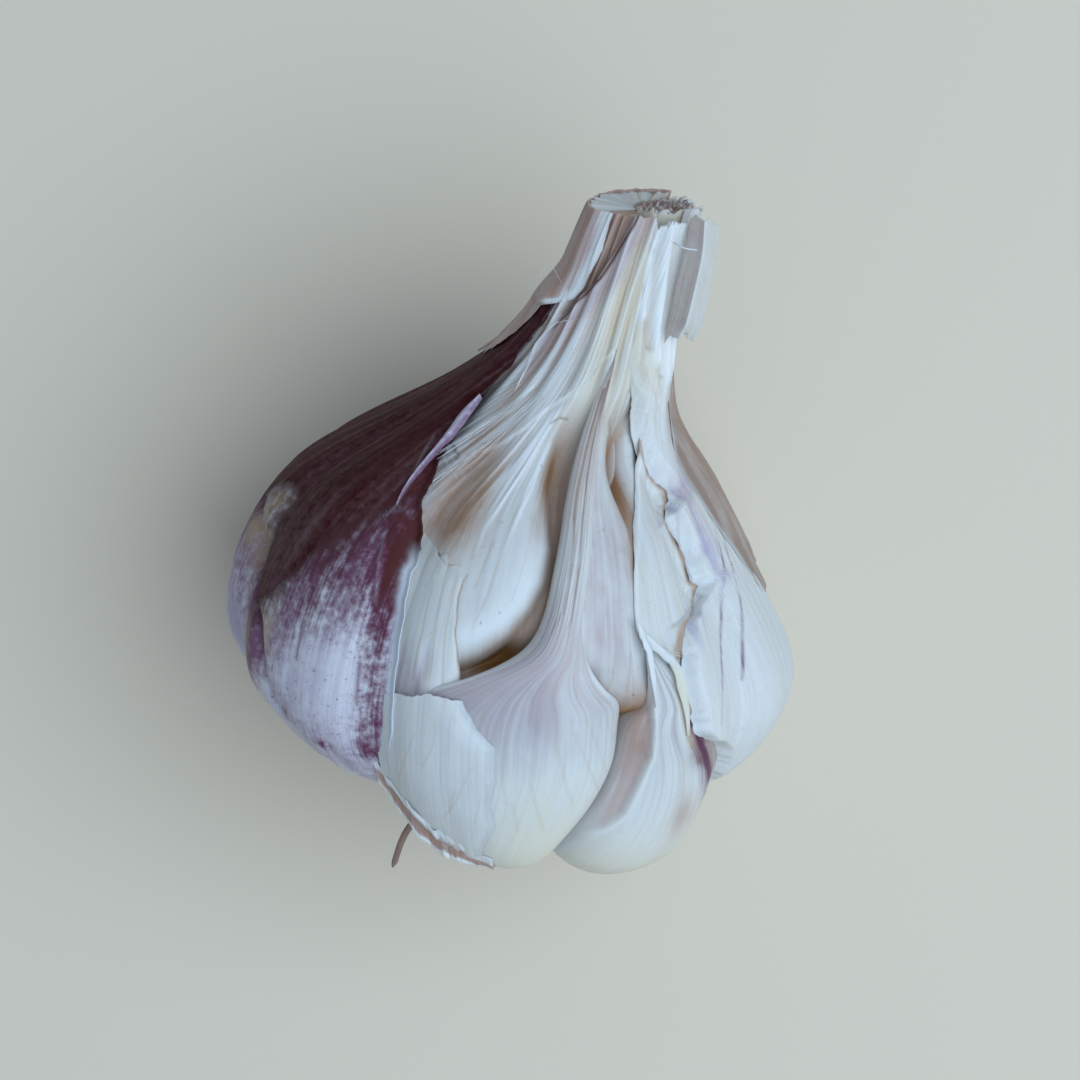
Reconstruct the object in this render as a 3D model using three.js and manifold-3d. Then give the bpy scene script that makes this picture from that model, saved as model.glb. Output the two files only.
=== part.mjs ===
// A hardneck garlic bulb lying on its side, neck raised, its purple wrapper torn open over the front cloves.
// Millimetres, +Z up, the surface that it lies on at Z = 0, and the neck pointing along +Y.
//
// Every piece is drawn in the bulb's own space and then laid down. That space has these measures:
//   angle  round the bulb's axis: 0 is the right side, 90 the front that faces up, 180 the left, 270 below
//   along  0 at the rim of the root plate, over the heel, belly and shoulder, to 1 at the cut end of the neck
//   out    0 at the flower stalk in the middle, 1 at the outside of the cloves
//   lift   millimetres above that outside
import * as THREE from "three";
import { mergeVertices } from "three/addons/utils/BufferGeometryUtils.js";
import Module from "manifold-3d";

const wasm = await Module();
wasm.setup();

// Driving dimensions, in millimetres and degrees
const TILT = 19; // how far the neck is raised above the surface
const PLATE_X = 3.1; // where the middle of the root plate lies
const PLATE_Y = -20.85;
const AXIS_HEIGHT = 22.75;
const GAP = 0.32; // clear space between pieces that lie against each other
const SKIN = 0.7; // thickness of a dry wrapper
const WRAP_LIFT = 0.35; // the wrappers lie this far off the cloves
const CORE_R = 3.4; // the cloves stand round this radius
const PLATE_R = 7.6;

// The bulb's outside on its four sides: radius and height above the root plate at each station along it
const STATIONS = [0, 0.14, 0.27, 0.42, 0.58, 0.72, 0.84, 1];
const OUTSIDE = {
  right: [[8, 0.8], [18.6, -1.4], [26, 4], [27.6, 11.4], [19.5, 24.6], [10.8, 35], [7, 44], [5.3, 57]],
  front: [[8, 0.8], [18.2, 1.2], [25.2, 5.4], [27, 12], [22.6, 26], [13, 36.5], [6.8, 45], [4.8, 57]],
  left: [[8, 1.2], [16.8, 4.8], [24.4, 9.8], [27.2, 16.8], [23, 28.8], [11.8, 37.6], [6.4, 45], [4.8, 57]],
  under: [[8, 0.8], [18, -1.6], [25.5, 4], [27.4, 13], [22.4, 27], [12, 37.4], [6.8, 45], [4.8, 57]],
};
const CORE_HEIGHTS = [3, 4.6, 8, 14, 25, 35, 44.5, 57];

// How far the axis has moved to the right at each height, as the neck leans
const LEAN_HEIGHTS = [-10, 16, 30, 36, 43, 50, 57];
const LEAN_SHIFTS = [-3.3, -3.3, -1.2, 1.4, 5.2, 7.8, 10.2];

// The seams between neighbouring cloves, where the outside sinks in
const SEAMS = [34, 118, 164, 200, 234, 270, 308, 352];
const SEAM_DEPTH = 1.5;
const SEAM_WIDTH = 7;

const { degToRad, radToDeg, smoothstep, lerp, clamp } = THREE.MathUtils;

// Which step of a rising list of places holds a place
function stepAt(places, at) {
  let i = 0;
  while (i < places.length - 2 && at > places[i + 1]) i += 1;
  return i;
}

// The smooth curve through a number at each of a rising list of places, read at one place
function curveThrough(places, values, at) {
  const last = places.length - 1;
  const x = clamp(at, places[0], places[last]);
  const i = stepAt(places, x);
  const slope = (k) => {
    const a = Math.max(k - 1, 0);
    const b = Math.min(k + 1, last);
    return (values[b] - values[a]) / (places[b] - places[a]);
  };
  const step = places[i + 1] - places[i];
  const t = (x - places[i]) / step;
  const [t2, t3] = [t * t, t * t * t];
  return (
    (2 * t3 - 3 * t2 + 1) * values[i] + (t3 - 2 * t2 + t) * step * slope(i) +
    (3 * t2 - 2 * t3) * values[i + 1] + (t3 - t2) * step * slope(i + 1)
  );
}

// The straight lines through the same, for torn edges
function linesThrough(places, values, at) {
  const x = clamp(at, places[0], places[places.length - 1]);
  const i = stepAt(places, x);
  return lerp(values[i], values[i + 1], (x - places[i]) / (places[i + 1] - places[i]));
}

// Radius and height of the bulb's outside at an angle and a place along it
function outsideAt(angle, along) {
  const c = Math.cos(degToRad(angle));
  const s = Math.sin(degToRad(angle));
  const shares = {
    right: Math.max(c, 0) ** 2, left: Math.max(-c, 0) ** 2,
    front: Math.max(s, 0) ** 2, under: Math.max(-s, 0) ** 2,
  };
  const p = new THREE.Vector2(0, 0);
  for (const side in OUTSIDE) {
    p.x += shares[side] * curveThrough(STATIONS, OUTSIDE[side].map((q) => q[0]), along);
    p.y += shares[side] * curveThrough(STATIONS, OUTSIDE[side].map((q) => q[1]), along);
  }
  const belly = smoothstep(along, 0.02, 0.2) * (1 - smoothstep(along, 0.55, 0.82));
  for (const seam of SEAMS) {
    const away = ((((angle - seam) % 360) + 540) % 360) - 180;
    p.x -= SEAM_DEPTH * belly * Math.exp(-((away / SEAM_WIDTH) ** 2));
  }
  return p;
}

// How much lower the heels of the two front cloves hang, from the right one to the left
const HEEL_ANGLES = [32, 45, 60, 75, 90, 105, 118];
const HEEL_DROPS = [4.4, 7, 7.8, 7, 6.6, 4.6, 2];

function outsideOf(angle, along, heels) {
  const p = outsideAt(angle, along);
  const hang = smoothstep(along, 0.02, 0.16) * (1 - smoothstep(along, 0.2, 0.44));
  if (heels) p.y -= curveThrough(HEEL_ANGLES, HEEL_DROPS, angle) * hang;
  return p;
}

// The way out of the bulb's outside in the plane of its axis, square to the surface
function wayOut(angle, along, heels) {
  const step = 0.01;
  const a = outsideOf(angle, Math.max(along - step, 0), heels);
  const b = outsideOf(angle, Math.min(along + step, 1), heels);
  return new THREE.Vector2(b.y - a.y, a.x - b.x).normalize();
}

// Lays a point of the bulb down: the axis leans to the right and the neck rises. The underside presses flat,
// and what lies deeper in the bulb stays that much higher above the surface.
function laidDown(angle, radius, height, depth) {
  const side = radius * Math.cos(degToRad(angle)) + curveThrough(LEAN_HEIGHTS, LEAN_SHIFTS, height);
  const front = radius * Math.sin(degToRad(angle));
  const c = Math.cos(degToRad(TILT));
  const s = Math.sin(degToRad(TILT));
  const z = height * s + front * c + AXIS_HEIGHT;
  return new THREE.Vector3(side + PLATE_X, height * c - front * s + PLATE_Y, Math.max(z, depth));
}

const OUTERMOST = WRAP_LIFT + SKIN;

// A point between the core and the outside
function inside(angle, along, out, heels = false) {
  const core = new THREE.Vector2(CORE_R, curveThrough(STATIONS, CORE_HEIGHTS, along));
  const skin = outsideOf(angle, along, heels);
  const depth = OUTERMOST + core.distanceTo(skin) * (1 - out);
  core.lerp(skin, out);
  return laidDown(angle, core.x, core.y, depth);
}

// A point some millimetres above the outside
function above(angle, along, lift, heels = false) {
  const p = outsideOf(angle, along, heels).addScaledVector(wayOut(angle, along, heels), lift);
  return laidDown(angle, p.x, p.y, OUTERMOST - lift);
}

// Turns points and triangles into a geometry whose faces look outwards
function meshOf(points, triangles) {
  let volume = 0;
  for (const [a, b, c] of triangles) volume += points[a].dot(points[b].clone().cross(points[c]));
  const turned = volume > 0 ? triangles : triangles.map(([a, b, c]) => [a, c, b]);
  const g = new THREE.BufferGeometry().setFromPoints(points);
  g.setIndex(turned.flat());
  return g;
}

// Joins rings of points into a closed solid, with a point at each end
function closedRings(rings, first, last) {
  const n = rings[0].length;
  const points = [first, ...rings.flat(), last];
  const end = points.length - 1;
  const at = (i, j) => 1 + i * n + (j % n);
  const faces = [];
  for (let j = 0; j < n; j += 1) {
    faces.push([0, at(0, j + 1), at(0, j)]);
    faces.push([end, at(rings.length - 1, j), at(rings.length - 1, j + 1)]);
    for (let i = 0; i + 1 < rings.length; i += 1) {
      faces.push([at(i, j), at(i, j + 1), at(i + 1, j)]);
      faces.push([at(i, j + 1), at(i + 1, j + 1), at(i + 1, j)]);
    }
  }
  return meshOf(points, faces);
}

// A sheet with an outer and an inner face and a wall round its edge: place(s, t, side) gives its points, with
// s and t from 0 to 1 across and along it, and side 1 on the outer face and 0 on the inner one
function closedSheet(across, along, place) {
  const width = across + 1;
  const count = width * (along + 1);
  const points = [];
  for (const side of [1, 0]) {
    for (let j = 0; j <= along; j += 1) {
      for (let i = 0; i <= across; i += 1) points.push(place(i / across, j / along, side));
    }
  }
  const at = (i, j) => j * width + i;
  const faces = [];
  for (let j = 0; j < along; j += 1) {
    for (let i = 0; i < across; i += 1) {
      const [a, b, c, d] = [at(i, j), at(i + 1, j), at(i + 1, j + 1), at(i, j + 1)];
      faces.push([a, b, c], [a, c, d]);
      faces.push([a + count, c + count, b + count], [a + count, d + count, c + count]);
    }
  }
  const wall = (p, q) => faces.push([p, p + count, q], [q, p + count, q + count]);
  for (let i = 0; i < across; i += 1) {
    wall(at(i, 0), at(i + 1, 0));
    wall(at(i + 1, along), at(i, along));
  }
  for (let j = 0; j < along; j += 1) {
    wall(at(0, j + 1), at(0, j));
    wall(at(across, j), at(across, j + 1));
  }
  return meshOf(points, faces);
}

// Joins solids that cross each other into one
function joined(geometries) {
  const solids = geometries.map((geometry) => {
    const merged = mergeVertices(geometry, 1e-4);
    return new wasm.Manifold(new wasm.Mesh({
      numProp: 3,
      vertProperties: merged.attributes.position.array,
      triVerts: new Uint32Array(merged.index.array),
    }));
  });
  const mesh = solids.reduce((a, b) => a.add(b)).getMesh();
  const g = new THREE.BufferGeometry();
  g.setAttribute("position", new THREE.BufferAttribute(mesh.vertProperties, 3));
  g.setIndex(new THREE.BufferAttribute(mesh.triVerts, 1));
  return g;
}

const bulb = new THREE.Group();
bulb.name = "garlic_bulb";

function addPiece(name, geometry, color, roughness) {
  const mesh = new THREE.Mesh(geometry, new THREE.MeshStandardMaterial({ color, roughness, metalness: 0 }));
  mesh.name = name;
  geometry.computeVertexNormals();
  bulb.add(mesh);
}

const CLOVE_WHITE = 0xd9dde0;
const SKIN_WHITE = 0xd5d4d2;
const SHEATH_CREAM = 0xcfc8bb;
const WRAPPER_PURPLE = 0x6b4a5c;
const STALK_CREAM = 0xc9bda0;
const PLATE_TAN = 0xa58d6d;

const ROUND = 16; // points round a clove
const CORNERS = 3; // how square a clove's section is: 2 is an ellipse

// The ring round a clove at one place along it, between two angles and between two places out
function sectionOf({ along, from, to, low, high, heels }) {
  const middle = (from + to) / 2;
  const radius = lerp(CORE_R, outsideOf(middle, along, heels).x, (low + high) / 2);
  const gap = radToDeg(GAP / 2 / radius);
  const half = Math.max((to - from) / 2 - gap, 0.5);
  const ring = [];
  for (let k = 0; k < ROUND; k += 1) {
    const c = Math.cos((2 * Math.PI * k) / ROUND);
    const s = Math.sin((2 * Math.PI * k) / ROUND);
    const size = (Math.abs(c) ** CORNERS + Math.abs(s) ** CORNERS) ** (-1 / CORNERS);
    const out = (low + high) / 2 + ((high - low) / 2) * s * size;
    ring.push(inside(middle + half * c * size, along, out, heels));
  }
  return ring;
}

// Round cloves: each fills its share of the bulb's turn from the core out. An inner clove is leaner below,
// where a front clove stands before it; its face is given by places along it and how far out it reaches.
const INNER_ALONG = [0.035, 0.15, 0.3, 0.42, 0.48, 0.54, 0.6, 0.7, 0.8];
const DEEP_FACE = [0.3, 0.32, 0.4, 0.48, 0.64, 0.9, 0.95, 0.95, 0.95];
const NEAR_FACE = [0.3, 0.32, 0.4, 0.54, 0.82, 0.92, 0.95, 0.95, 0.95];
const CLOVES = [
  { name: "clove_right", from: -8, to: 34 },
  { name: "clove_left", from: 118, to: 164 },
  { name: "clove_far_left", from: 164, to: 200 },
  { name: "clove_back_left", from: 200, to: 234 },
  { name: "clove_under_left", from: 234, to: 270 },
  { name: "clove_under_right", from: 270, to: 308 },
  { name: "clove_back_right", from: 308, to: 352 },
  { name: "clove_inner_left", from: 81.5, to: 118, face: DEEP_FACE },
  { name: "clove_inner_middle", from: 57, to: 81.5, face: NEAR_FACE },
  { name: "clove_inner_right", from: 34, to: 57, face: NEAR_FACE },
];
const CLOVE_HEEL = 0.035;
const CLOVE_TIP = 0.79;
const CLOVE_RINGS = 13;

for (const { name, from, to, face } of CLOVES) {
  const middle = (from + to) / 2;
  const rings = [];
  for (let k = 0; k < CLOVE_RINGS; k += 1) {
    const share = (1 - Math.cos(Math.PI * lerp(0.07, 0.95, k / (CLOVE_RINGS - 1)))) / 2;
    const along = lerp(CLOVE_HEEL, CLOVE_TIP, share);
    const full = (1 - Math.abs(2 * share - 1) ** 3.4) ** 0.42;
    const drawnIn = 0.985 - 0.09 * smoothstep(along, 0.55, 0.72);
    const reach = face ? curveThrough(INNER_ALONG, face, along) : drawnIn;
    const half = ((to - from) / 2) * full;
    const low = lerp(reach * 0.5, 0.03, full);
    const high = lerp(reach * 0.6, reach, full);
    rings.push(sectionOf({ along, from: middle - half, to: middle + half, low, high }));
  }
  const heel = inside(middle, CLOVE_HEEL, face ? 0.2 : 0.5);
  const tip = inside(middle, CLOVE_TIP, 0.5);
  addPiece(name, closedRings(rings, heel, tip), CLOVE_WHITE, 0.45);
}

// The two squat front cloves: broad and round below, then drawn in at the lip to a thin strand that runs up
// to the neck. Each stop is: along, the angles of its right and left sides, and how far out its back and face are.
const FRONT_CLOVES = {
  clove_front: [
    [0.06, 80, 100, 0.5, 0.86], [0.1, 77.5, 106, 0.42, 0.97], [0.17, 77, 109.5, 0.42, 1],
    [0.24, 73.5, 112, 0.46, 1], [0.31, 67, 113, 0.52, 1], [0.36, 63.5, 113, 0.57, 1],
    [0.41, 62.8, 113, 0.64, 1], [0.44, 63.5, 112, 0.76, 1], [0.462, 67.5, 106, 0.9, 1],
    [0.482, 70.5, 98, 0.94, 1.01], [0.503, 72.2, 87.5, 0.95, 1.02], [0.53, 73, 83, 0.96, 1.03],
    [0.58, 72, 80.8, 0.965, 1.035], [0.65, 70, 79, 0.96, 1.04], [0.72, 71, 80, 0.96, 1.06],
  ],
  clove_front_right: [
    [0.06, 50, 70, 0.5, 0.86], [0.1, 41, 75, 0.42, 0.97], [0.17, 34.5, 76.5, 0.42, 1],
    [0.24, 32.5, 73, 0.46, 1], [0.31, 35.5, 66.5, 0.52, 1], [0.36, 44, 63, 0.6, 1],
    [0.41, 50.5, 62, 0.72, 1], [0.445, 52.8, 61, 0.86, 1], [0.478, 54, 60, 0.94, 1.01],
    [0.505, 56.5, 59.8, 0.955, 1.025], [0.55, 57.3, 60.2, 0.965, 1.035],
  ],
};

for (const [name, stops] of Object.entries(FRONT_CLOVES)) {
  const rings = stops.map(([along, from, to, low, high]) => (
    sectionOf({ along, from, to, low, high, heels: true })
  ));
  const [first, last] = [stops[0], stops[stops.length - 1]];
  const heel = inside((first[1] + first[2]) / 2, first[0] - 0.015, 0.68, true);
  const tip = inside((last[1] + last[2]) / 2, last[0] + 0.008, (last[3] + last[4]) / 2, true);
  addPiece(name, closedRings(rings, heel, tip), CLOVE_WHITE, 0.45);
}

const WRAPPER_FOOT = 0.035; // the wrappers start this far along, just off the root plate

// How far a torn edge strays, in degrees, at each place along it
const jagged = (along) => 0.55 * Math.sin(along * 190) + 0.4 * Math.sin(along * 83 + 1);

// Purple outer wrapper, round the left side and the underside, torn open along the front
const WRAPPER_TEAR = {
  along: [
    0.03, 0.305, 0.388, 0.445, 0.487, 0.525, 0.56, 0.59, 0.618, 0.645, 0.685, 0.74, 0.785, 0.835, 0.88,
  ],
  angle: [118, 115.5, 113, 113, 113.5, 114.5, 116, 117.5, 120, 124.5, 131, 142, 149, 152, 154],
};
const WRAPPER_BACK = 300;
const WRAPPER_TOP = 0.88;
addPiece("purple_wrapper", closedSheet(28, 21, (s, t, side) => {
  const along = lerp(WRAPPER_FOOT, WRAPPER_TOP, t);
  const torn = linesThrough(WRAPPER_TEAR.along, WRAPPER_TEAR.angle, along) + jagged(along);
  return above(lerp(torn, WRAPPER_BACK, s ** 1.15), along, WRAP_LIFT + side * SKIN);
}), WRAPPER_PURPLE, 0.55);

// White right wrapper, torn along the front and ragged where it ends against the stalk
const RIGHT_TEAR = {
  along: [
    0.03, 0.205, 0.265, 0.302, 0.34, 0.378, 0.44, 0.478, 0.495, 0.527, 0.547, 0.608, 0.64, 0.675, 0.725, 0.85,
  ],
  angle: [29, 28, 31, 32.5, 39, 45.5, 48.5, 50, 45, 39, 34, 34, 33, 40, 52, 57],
};
const RIGHT_TOP = 0.85;
const RIGHT_BACK = -57.5;
addPiece("right_wrapper", closedSheet(16, 20, (s, t, side) => {
  const along = lerp(WRAPPER_FOOT, RIGHT_TOP, t);
  const torn = linesThrough(RIGHT_TEAR.along, RIGHT_TEAR.angle, along) - 0.6 + jagged(along + 0.02);
  return above(lerp(RIGHT_BACK, torn, s), along, WRAP_LIFT + side * SKIN);
}), SKIN_WHITE, 0.6);

// Flower stalk, with the stiff leaf bases that cling to it, from above the root plate to its cut end
const STALK_HEIGHTS = [2.6, 30, 38, 43, 48, 53, 56.6];
const STALK_RADII = [2.5, 2.5, 2.7, 3.5, 3.8, 3.3, 2.8];
const STALK_SHIFTS = [0, 0, 0.6, 1.7, 2.3, 2.3, 2.2]; // it lies to the right of the neck's middle
const STALK_FOOT = 2.6;
const STALK_END = 56.6;
const STALK_SIDES = 12;
const stalkAt = (height, list) => curveThrough(STALK_HEIGHTS, list, height);

function stalkRing(height) {
  const ring = [];
  for (let k = 0; k < STALK_SIDES; k += 1) {
    const turn = (2 * Math.PI * k) / STALK_SIDES;
    const r = stalkAt(height, STALK_RADII);
    const x = r * Math.cos(turn) + stalkAt(height, STALK_SHIFTS);
    const y = r * Math.sin(turn);
    ring.push(laidDown(radToDeg(Math.atan2(y, x)), Math.hypot(x, y), height, 0));
  }
  return ring;
}
const stalkRings = [STALK_FOOT, 12, 22, 30, 34, 38, 41, 44, 47, 50, 53, STALK_END].map(stalkRing);
const stalkFoot = laidDown(0, 0, STALK_FOOT, 0);
const stalkEnd = laidDown(0, stalkAt(STALK_END, STALK_SHIFTS), STALK_END, 0);
addPiece("stalk", closedRings(stalkRings, stalkFoot, stalkEnd), STALK_CREAM, 0.7);

// The stalk's surface, seen from the neck's middle at an angle
function stalkReach(angle, height) {
  const shift = stalkAt(height, STALK_SHIFTS);
  const r = stalkAt(height, STALK_RADII) + GAP;
  return shift * Math.cos(degToRad(angle)) + Math.sqrt(r ** 2 - (shift * Math.sin(degToRad(angle))) ** 2);
}

// Neck sheath: the pinkish leaf bases folded round the left of the stalk. It ends below in a torn edge over
// the inner cloves, and its thick upper part has a trough where two leaves part.
const NECK_FOOT = {
  angle: [58, 75, 90, 100, 110, 117, 124, 131, 140, 148, 155, 165, 300],
  along: [0.77, 0.745, 0.74, 0.735, 0.7, 0.655, 0.655, 0.675, 0.73, 0.78, 0.82, 0.86, 0.86],
};
const NECK_SIDE = { along: [0.72, 0.8, 0.88, 0.94, 1], angle: [58, 60, 66, 68, 86] };
const TROUGH = {
  along: [0.8, 0.84, 0.88, 0.94, 1],
  angle: [165, 160, 150, 128, 122],
  depth: [0, 0.6, 1.1, 1.4, 1.4],
};
const NECK_FRONT = 58;
const NECK_BACK = 300;
const NECK_END = 0.993;
const NECK_RIB = 0.3; // how deep the furrows between its ribs are
const NECK_RIBS = 24; // in a full turn
addPiece("neck_sheath", closedSheet(44, 12, (s, t, side) => {
  const spread = lerp(NECK_FRONT, NECK_BACK, s ** 1.5);
  const foot = linesThrough(NECK_FOOT.angle, NECK_FOOT.along, spread);
  const along = lerp(foot, NECK_END, t);
  const right = linesThrough(NECK_SIDE.along, NECK_SIDE.angle, along);
  const angle = lerp(right, NECK_BACK, s ** 1.5);
  const trough = curveThrough(TROUGH.along, TROUGH.angle, along);
  const sink = curveThrough(TROUGH.along, TROUGH.depth, along) * Math.exp(-(((angle - trough) / 12) ** 2));
  const ribbed = smoothstep(along, 0.68, 0.8);
  const furrow = NECK_RIB * (0.5 + 0.5 * Math.sin(degToRad(angle) * NECK_RIBS)) * ribbed;
  const outer = above(angle, along, -sink - furrow);
  if (side) return outer;
  const p = outsideOf(angle, along).addScaledVector(wayOut(angle, along), -SKIN - furrow);
  const close = smoothstep(along, 0.84, 0.93);
  const r = lerp(p.x, Math.min(stalkReach(angle, p.y), p.x - sink), close);
  return laidDown(angle, r, p.y, 0);
}), SHEATH_CREAM, 0.7);

// Loose leaf on the right: a flap beside the stalk that narrows at the neck's foot, and spreads below into
// the thin piece that lies behind the right wrapper's shoulder
const LEAF = {
  along: [0.5, 0.56, 0.61, 0.66, 0.7, 0.75, 0.8, 0.84, 0.88, 0.93, 0.985],
  right: [-14, -26, -30, -30, -28, -20, -6, -10, -32, -38, -38],
  left: [12, 10, 11.5, 22, 33, 36, 29, 26, 22, 18, 14],
  lift: [1.5, 1.5, 1.5, 1.5, 1.5, 1.4, 1.4, 1.4, 1.5, 1.7, 1.9],
};
addPiece("loose_leaf", closedSheet(5, 18, (s, t, side) => {
  const along = lerp(0.5, 0.985, t);
  const right = linesThrough(LEAF.along, LEAF.right, along);
  const left = linesThrough(LEAF.along, LEAF.left, along);
  return above(lerp(right, left, s), along, curveThrough(LEAF.along, LEAF.lift, along) + side * SKIN);
}), SKIN_WHITE, 0.6);

// Bands of ribbed skin left on the inner cloves: one beside the purple wrapper's tear, one by the right one's
const LEFT_BAND = { along: [0.465, 0.5, 0.527, 0.557, 0.585, 0.69], right: [99.5, 101, 102, 103, 104, 106] };
addPiece("left_band", closedSheet(4, 9, (s, t, side) => {
  const along = lerp(0.472, 0.65, t);
  const right = linesThrough(LEFT_BAND.along, LEFT_BAND.right, along);
  return above(lerp(right, 112.5, s), along, -0.55 + side * SKIN + 0.5 * (1 - smoothstep(t, 0, 0.4)));
}), SKIN_WHITE, 0.6);

const RIGHT_BAND = {
  along: [0.375, 0.41, 0.45, 0.48, 0.52, 0.57, 0.62, 0.68],
  right: [46, 48, 49, 49.5, 43, 38, 37, 42],
  left: [47.5, 49.8, 51.6, 53, 55.5, 56, 54.5, 51],
};
addPiece("right_band", closedSheet(4, 12, (s, t, side) => {
  const along = lerp(0.375, 0.68, t);
  const right = linesThrough(RIGHT_BAND.along, RIGHT_BAND.right, along);
  const left = linesThrough(RIGHT_BAND.along, RIGHT_BAND.left, along);
  return above(lerp(right, left, s), along, -0.75 + side * SKIN);
}), SKIN_WHITE, 0.6);

// Thin skin patch on the left part of the front clove
const FLAKE = {
  along: [0.16, 0.275, 0.3, 0.328, 0.355, 0.395, 0.413, 0.435, 0.463],
  right: [95, 93, 92, 93.5, 93, 91, 91.5, 96, 98.5],
};
addPiece("front_flake", closedSheet(7, 9, (s, t, side) => {
  const along = lerp(0.16, 0.462, t);
  const right = linesThrough(FLAKE.along, FLAKE.right, along);
  return above(lerp(right, 110.5, s), along, 0.35 + side * 0.62, true);
}), SKIN_WHITE, 0.6);

// Ragged rim of an older skin round the heel of the front clove's left part
addPiece("base_skin", closedSheet(9, 3, (s, t, side) => {
  const angle = lerp(92, 117, s);
  const top = lerp(0.21, 0.315, s ** 1.3) + 0.012 * Math.sin(angle * 1.9);
  return above(angle, lerp(top - 0.08, top, t), 1.35 + 0.7 * t + side * 0.62, true);
}), SHEATH_CREAM, 0.8);

// Root plate with dry root stubs, and one longer root at its left
const PLATE_TOP = 2.2;
const PLATE_BOTTOM = -2.6;
const PLATE_SIDES = 20;
const plateProfile = [
  [3, PLATE_TOP], [PLATE_R - 1.6, 0.9], [PLATE_R, -0.2], [PLATE_R - 0.9, -1.6], [5, -2.4],
];
const plateRings = plateProfile.map(([r, h]) => {
  const ring = [];
  for (let k = 0; k < PLATE_SIDES; k += 1) ring.push(laidDown((360 * k) / PLATE_SIDES, r, h, 0));
  return ring;
});
const plate = closedRings(plateRings, laidDown(0, 0, PLATE_TOP, 0), laidDown(0, 0, PLATE_BOTTOM, 0));

// A root: a thin rod with four sides, bent, from a foot inside the plate to a blunt end
function rootOf(path, thick) {
  const curve = new THREE.CatmullRomCurve3(path);
  const rings = [];
  for (let i = 0; i <= 3; i += 1) {
    const at = curve.getPoint(i / 3);
    const way = curve.getTangent(i / 3);
    const across = new THREE.Vector3(0, 0, 1).cross(way).normalize();
    const up = way.clone().cross(across);
    const r = thick * (1 - 0.35 * (i / 3));
    rings.push([[1, 0], [0, 1], [-1, 0], [0, -1]].map(([a, b]) => at.clone().addScaledVector(across, a * r)
      .addScaledVector(up, b * r)));
  }
  return closedRings(rings, curve.getPoint(0), curve.getPoint(1));
}

// A repeatable stream of numbers from 0 to 1
let seed = 71;
function chance() {
  seed = (seed * 16807) % 2147483647;
  return seed / 2147483647;
}
const roots = [];
const ROOTS = 34;
for (let k = 0; k < ROOTS; k += 1) {
  const turn = k * 137.5;
  const r = 1.2 + 5.2 * Math.sqrt((k + 0.5) / ROOTS);
  const length = 2 + 2.6 * chance();
  const bend = (chance() - 0.5) * 2;
  const stops = [[r - 0.4, -1.2], [r + 0.3, -2.4 - length * 0.5], [r + 0.6 + bend, -2.4 - length]];
  roots.push(rootOf(stops.map(([q, h], i) => laidDown(turn + i * bend * 5, q, h, 0)), 0.42));
}
const longRoot = [[4, 200, -1.5], [7, 195, -6], [10.5, 190, -10], [12, 186, -14]];
roots.push(rootOf(longRoot.map(([r, angle, h]) => laidDown(angle, r, h, 0)), 0.6));
addPiece("root_plate", joined([plate, ...roots]), PLATE_TAN, 0.85);

export default bulb;
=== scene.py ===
# A hardneck garlic bulb lying on its side, its purple wrapper torn open over the front cloves.
#
# Every piece is drawn in the bulb's own space, which the solids share, and then laid down:
#   angle  in degrees round the bulb's axis: 0 is the right side, 90 the front that faces up, 180 the left
#   along  0 at the rim of the root plate, over the heel, belly and shoulder, to 1 at the cut end of the neck
#   lift   millimetres above the outside of the cloves
#   out    0 at the stalk in the middle and 1 at that outside
# Lengths in this file are millimetres until a mesh is made, and then metres.
# Edges are rows of (along, angle). Lines, veins and outlines are points of (angle, along).
import math

import bmesh
import bpy
import numpy as np
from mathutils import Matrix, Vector


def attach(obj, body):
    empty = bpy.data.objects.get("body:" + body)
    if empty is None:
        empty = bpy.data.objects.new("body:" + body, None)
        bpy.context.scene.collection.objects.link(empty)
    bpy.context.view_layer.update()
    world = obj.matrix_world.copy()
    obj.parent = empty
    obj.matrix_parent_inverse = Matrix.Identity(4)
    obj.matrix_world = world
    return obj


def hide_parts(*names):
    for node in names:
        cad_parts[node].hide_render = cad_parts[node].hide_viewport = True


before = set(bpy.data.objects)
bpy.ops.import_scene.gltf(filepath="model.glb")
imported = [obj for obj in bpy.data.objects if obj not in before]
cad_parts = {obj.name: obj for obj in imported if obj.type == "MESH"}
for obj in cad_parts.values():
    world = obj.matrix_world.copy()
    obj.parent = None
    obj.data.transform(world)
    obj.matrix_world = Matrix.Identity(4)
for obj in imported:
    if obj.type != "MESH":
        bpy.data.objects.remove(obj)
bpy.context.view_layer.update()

MM = 0.001

# The bulb's shape, the same as the solids have
TILT = math.radians(19)
PLATE_X = 3.1
PLATE_Y = -20.85
AXIS_HEIGHT = 22.75
GAP = 0.32
SKIN = 0.7
WRAP_LIFT = 0.35
CORE_R = 3.4
PLATE_R = 7.6
OUTERMOST = WRAP_LIFT + SKIN
STATIONS = [0, 0.14, 0.27, 0.42, 0.58, 0.72, 0.84, 1]
OUTSIDE = {
    "right": [
        (8, 0.8), (18.6, -1.4), (26, 4), (27.6, 11.4), (19.5, 24.6), (10.8, 35), (7, 44), (5.3, 57),
    ],
    "front": [
        (8, 0.8), (18.2, 1.2), (25.2, 5.4), (27, 12), (22.6, 26), (13, 36.5), (6.8, 45), (4.8, 57),
    ],
    "left": [
        (8, 1.2), (16.8, 4.8), (24.4, 9.8), (27.2, 16.8), (23, 28.8), (11.8, 37.6), (6.4, 45), (4.8, 57),
    ],
    "under": [
        (8, 0.8), (18, -1.6), (25.5, 4), (27.4, 13), (22.4, 27), (12, 37.4), (6.8, 45), (4.8, 57),
    ],
}
CORE_HEIGHTS = [3, 4.6, 8, 14, 25, 35, 44.5, 57]
LEAN_HEIGHTS = [-10, 16, 30, 36, 43, 50, 57]
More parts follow.
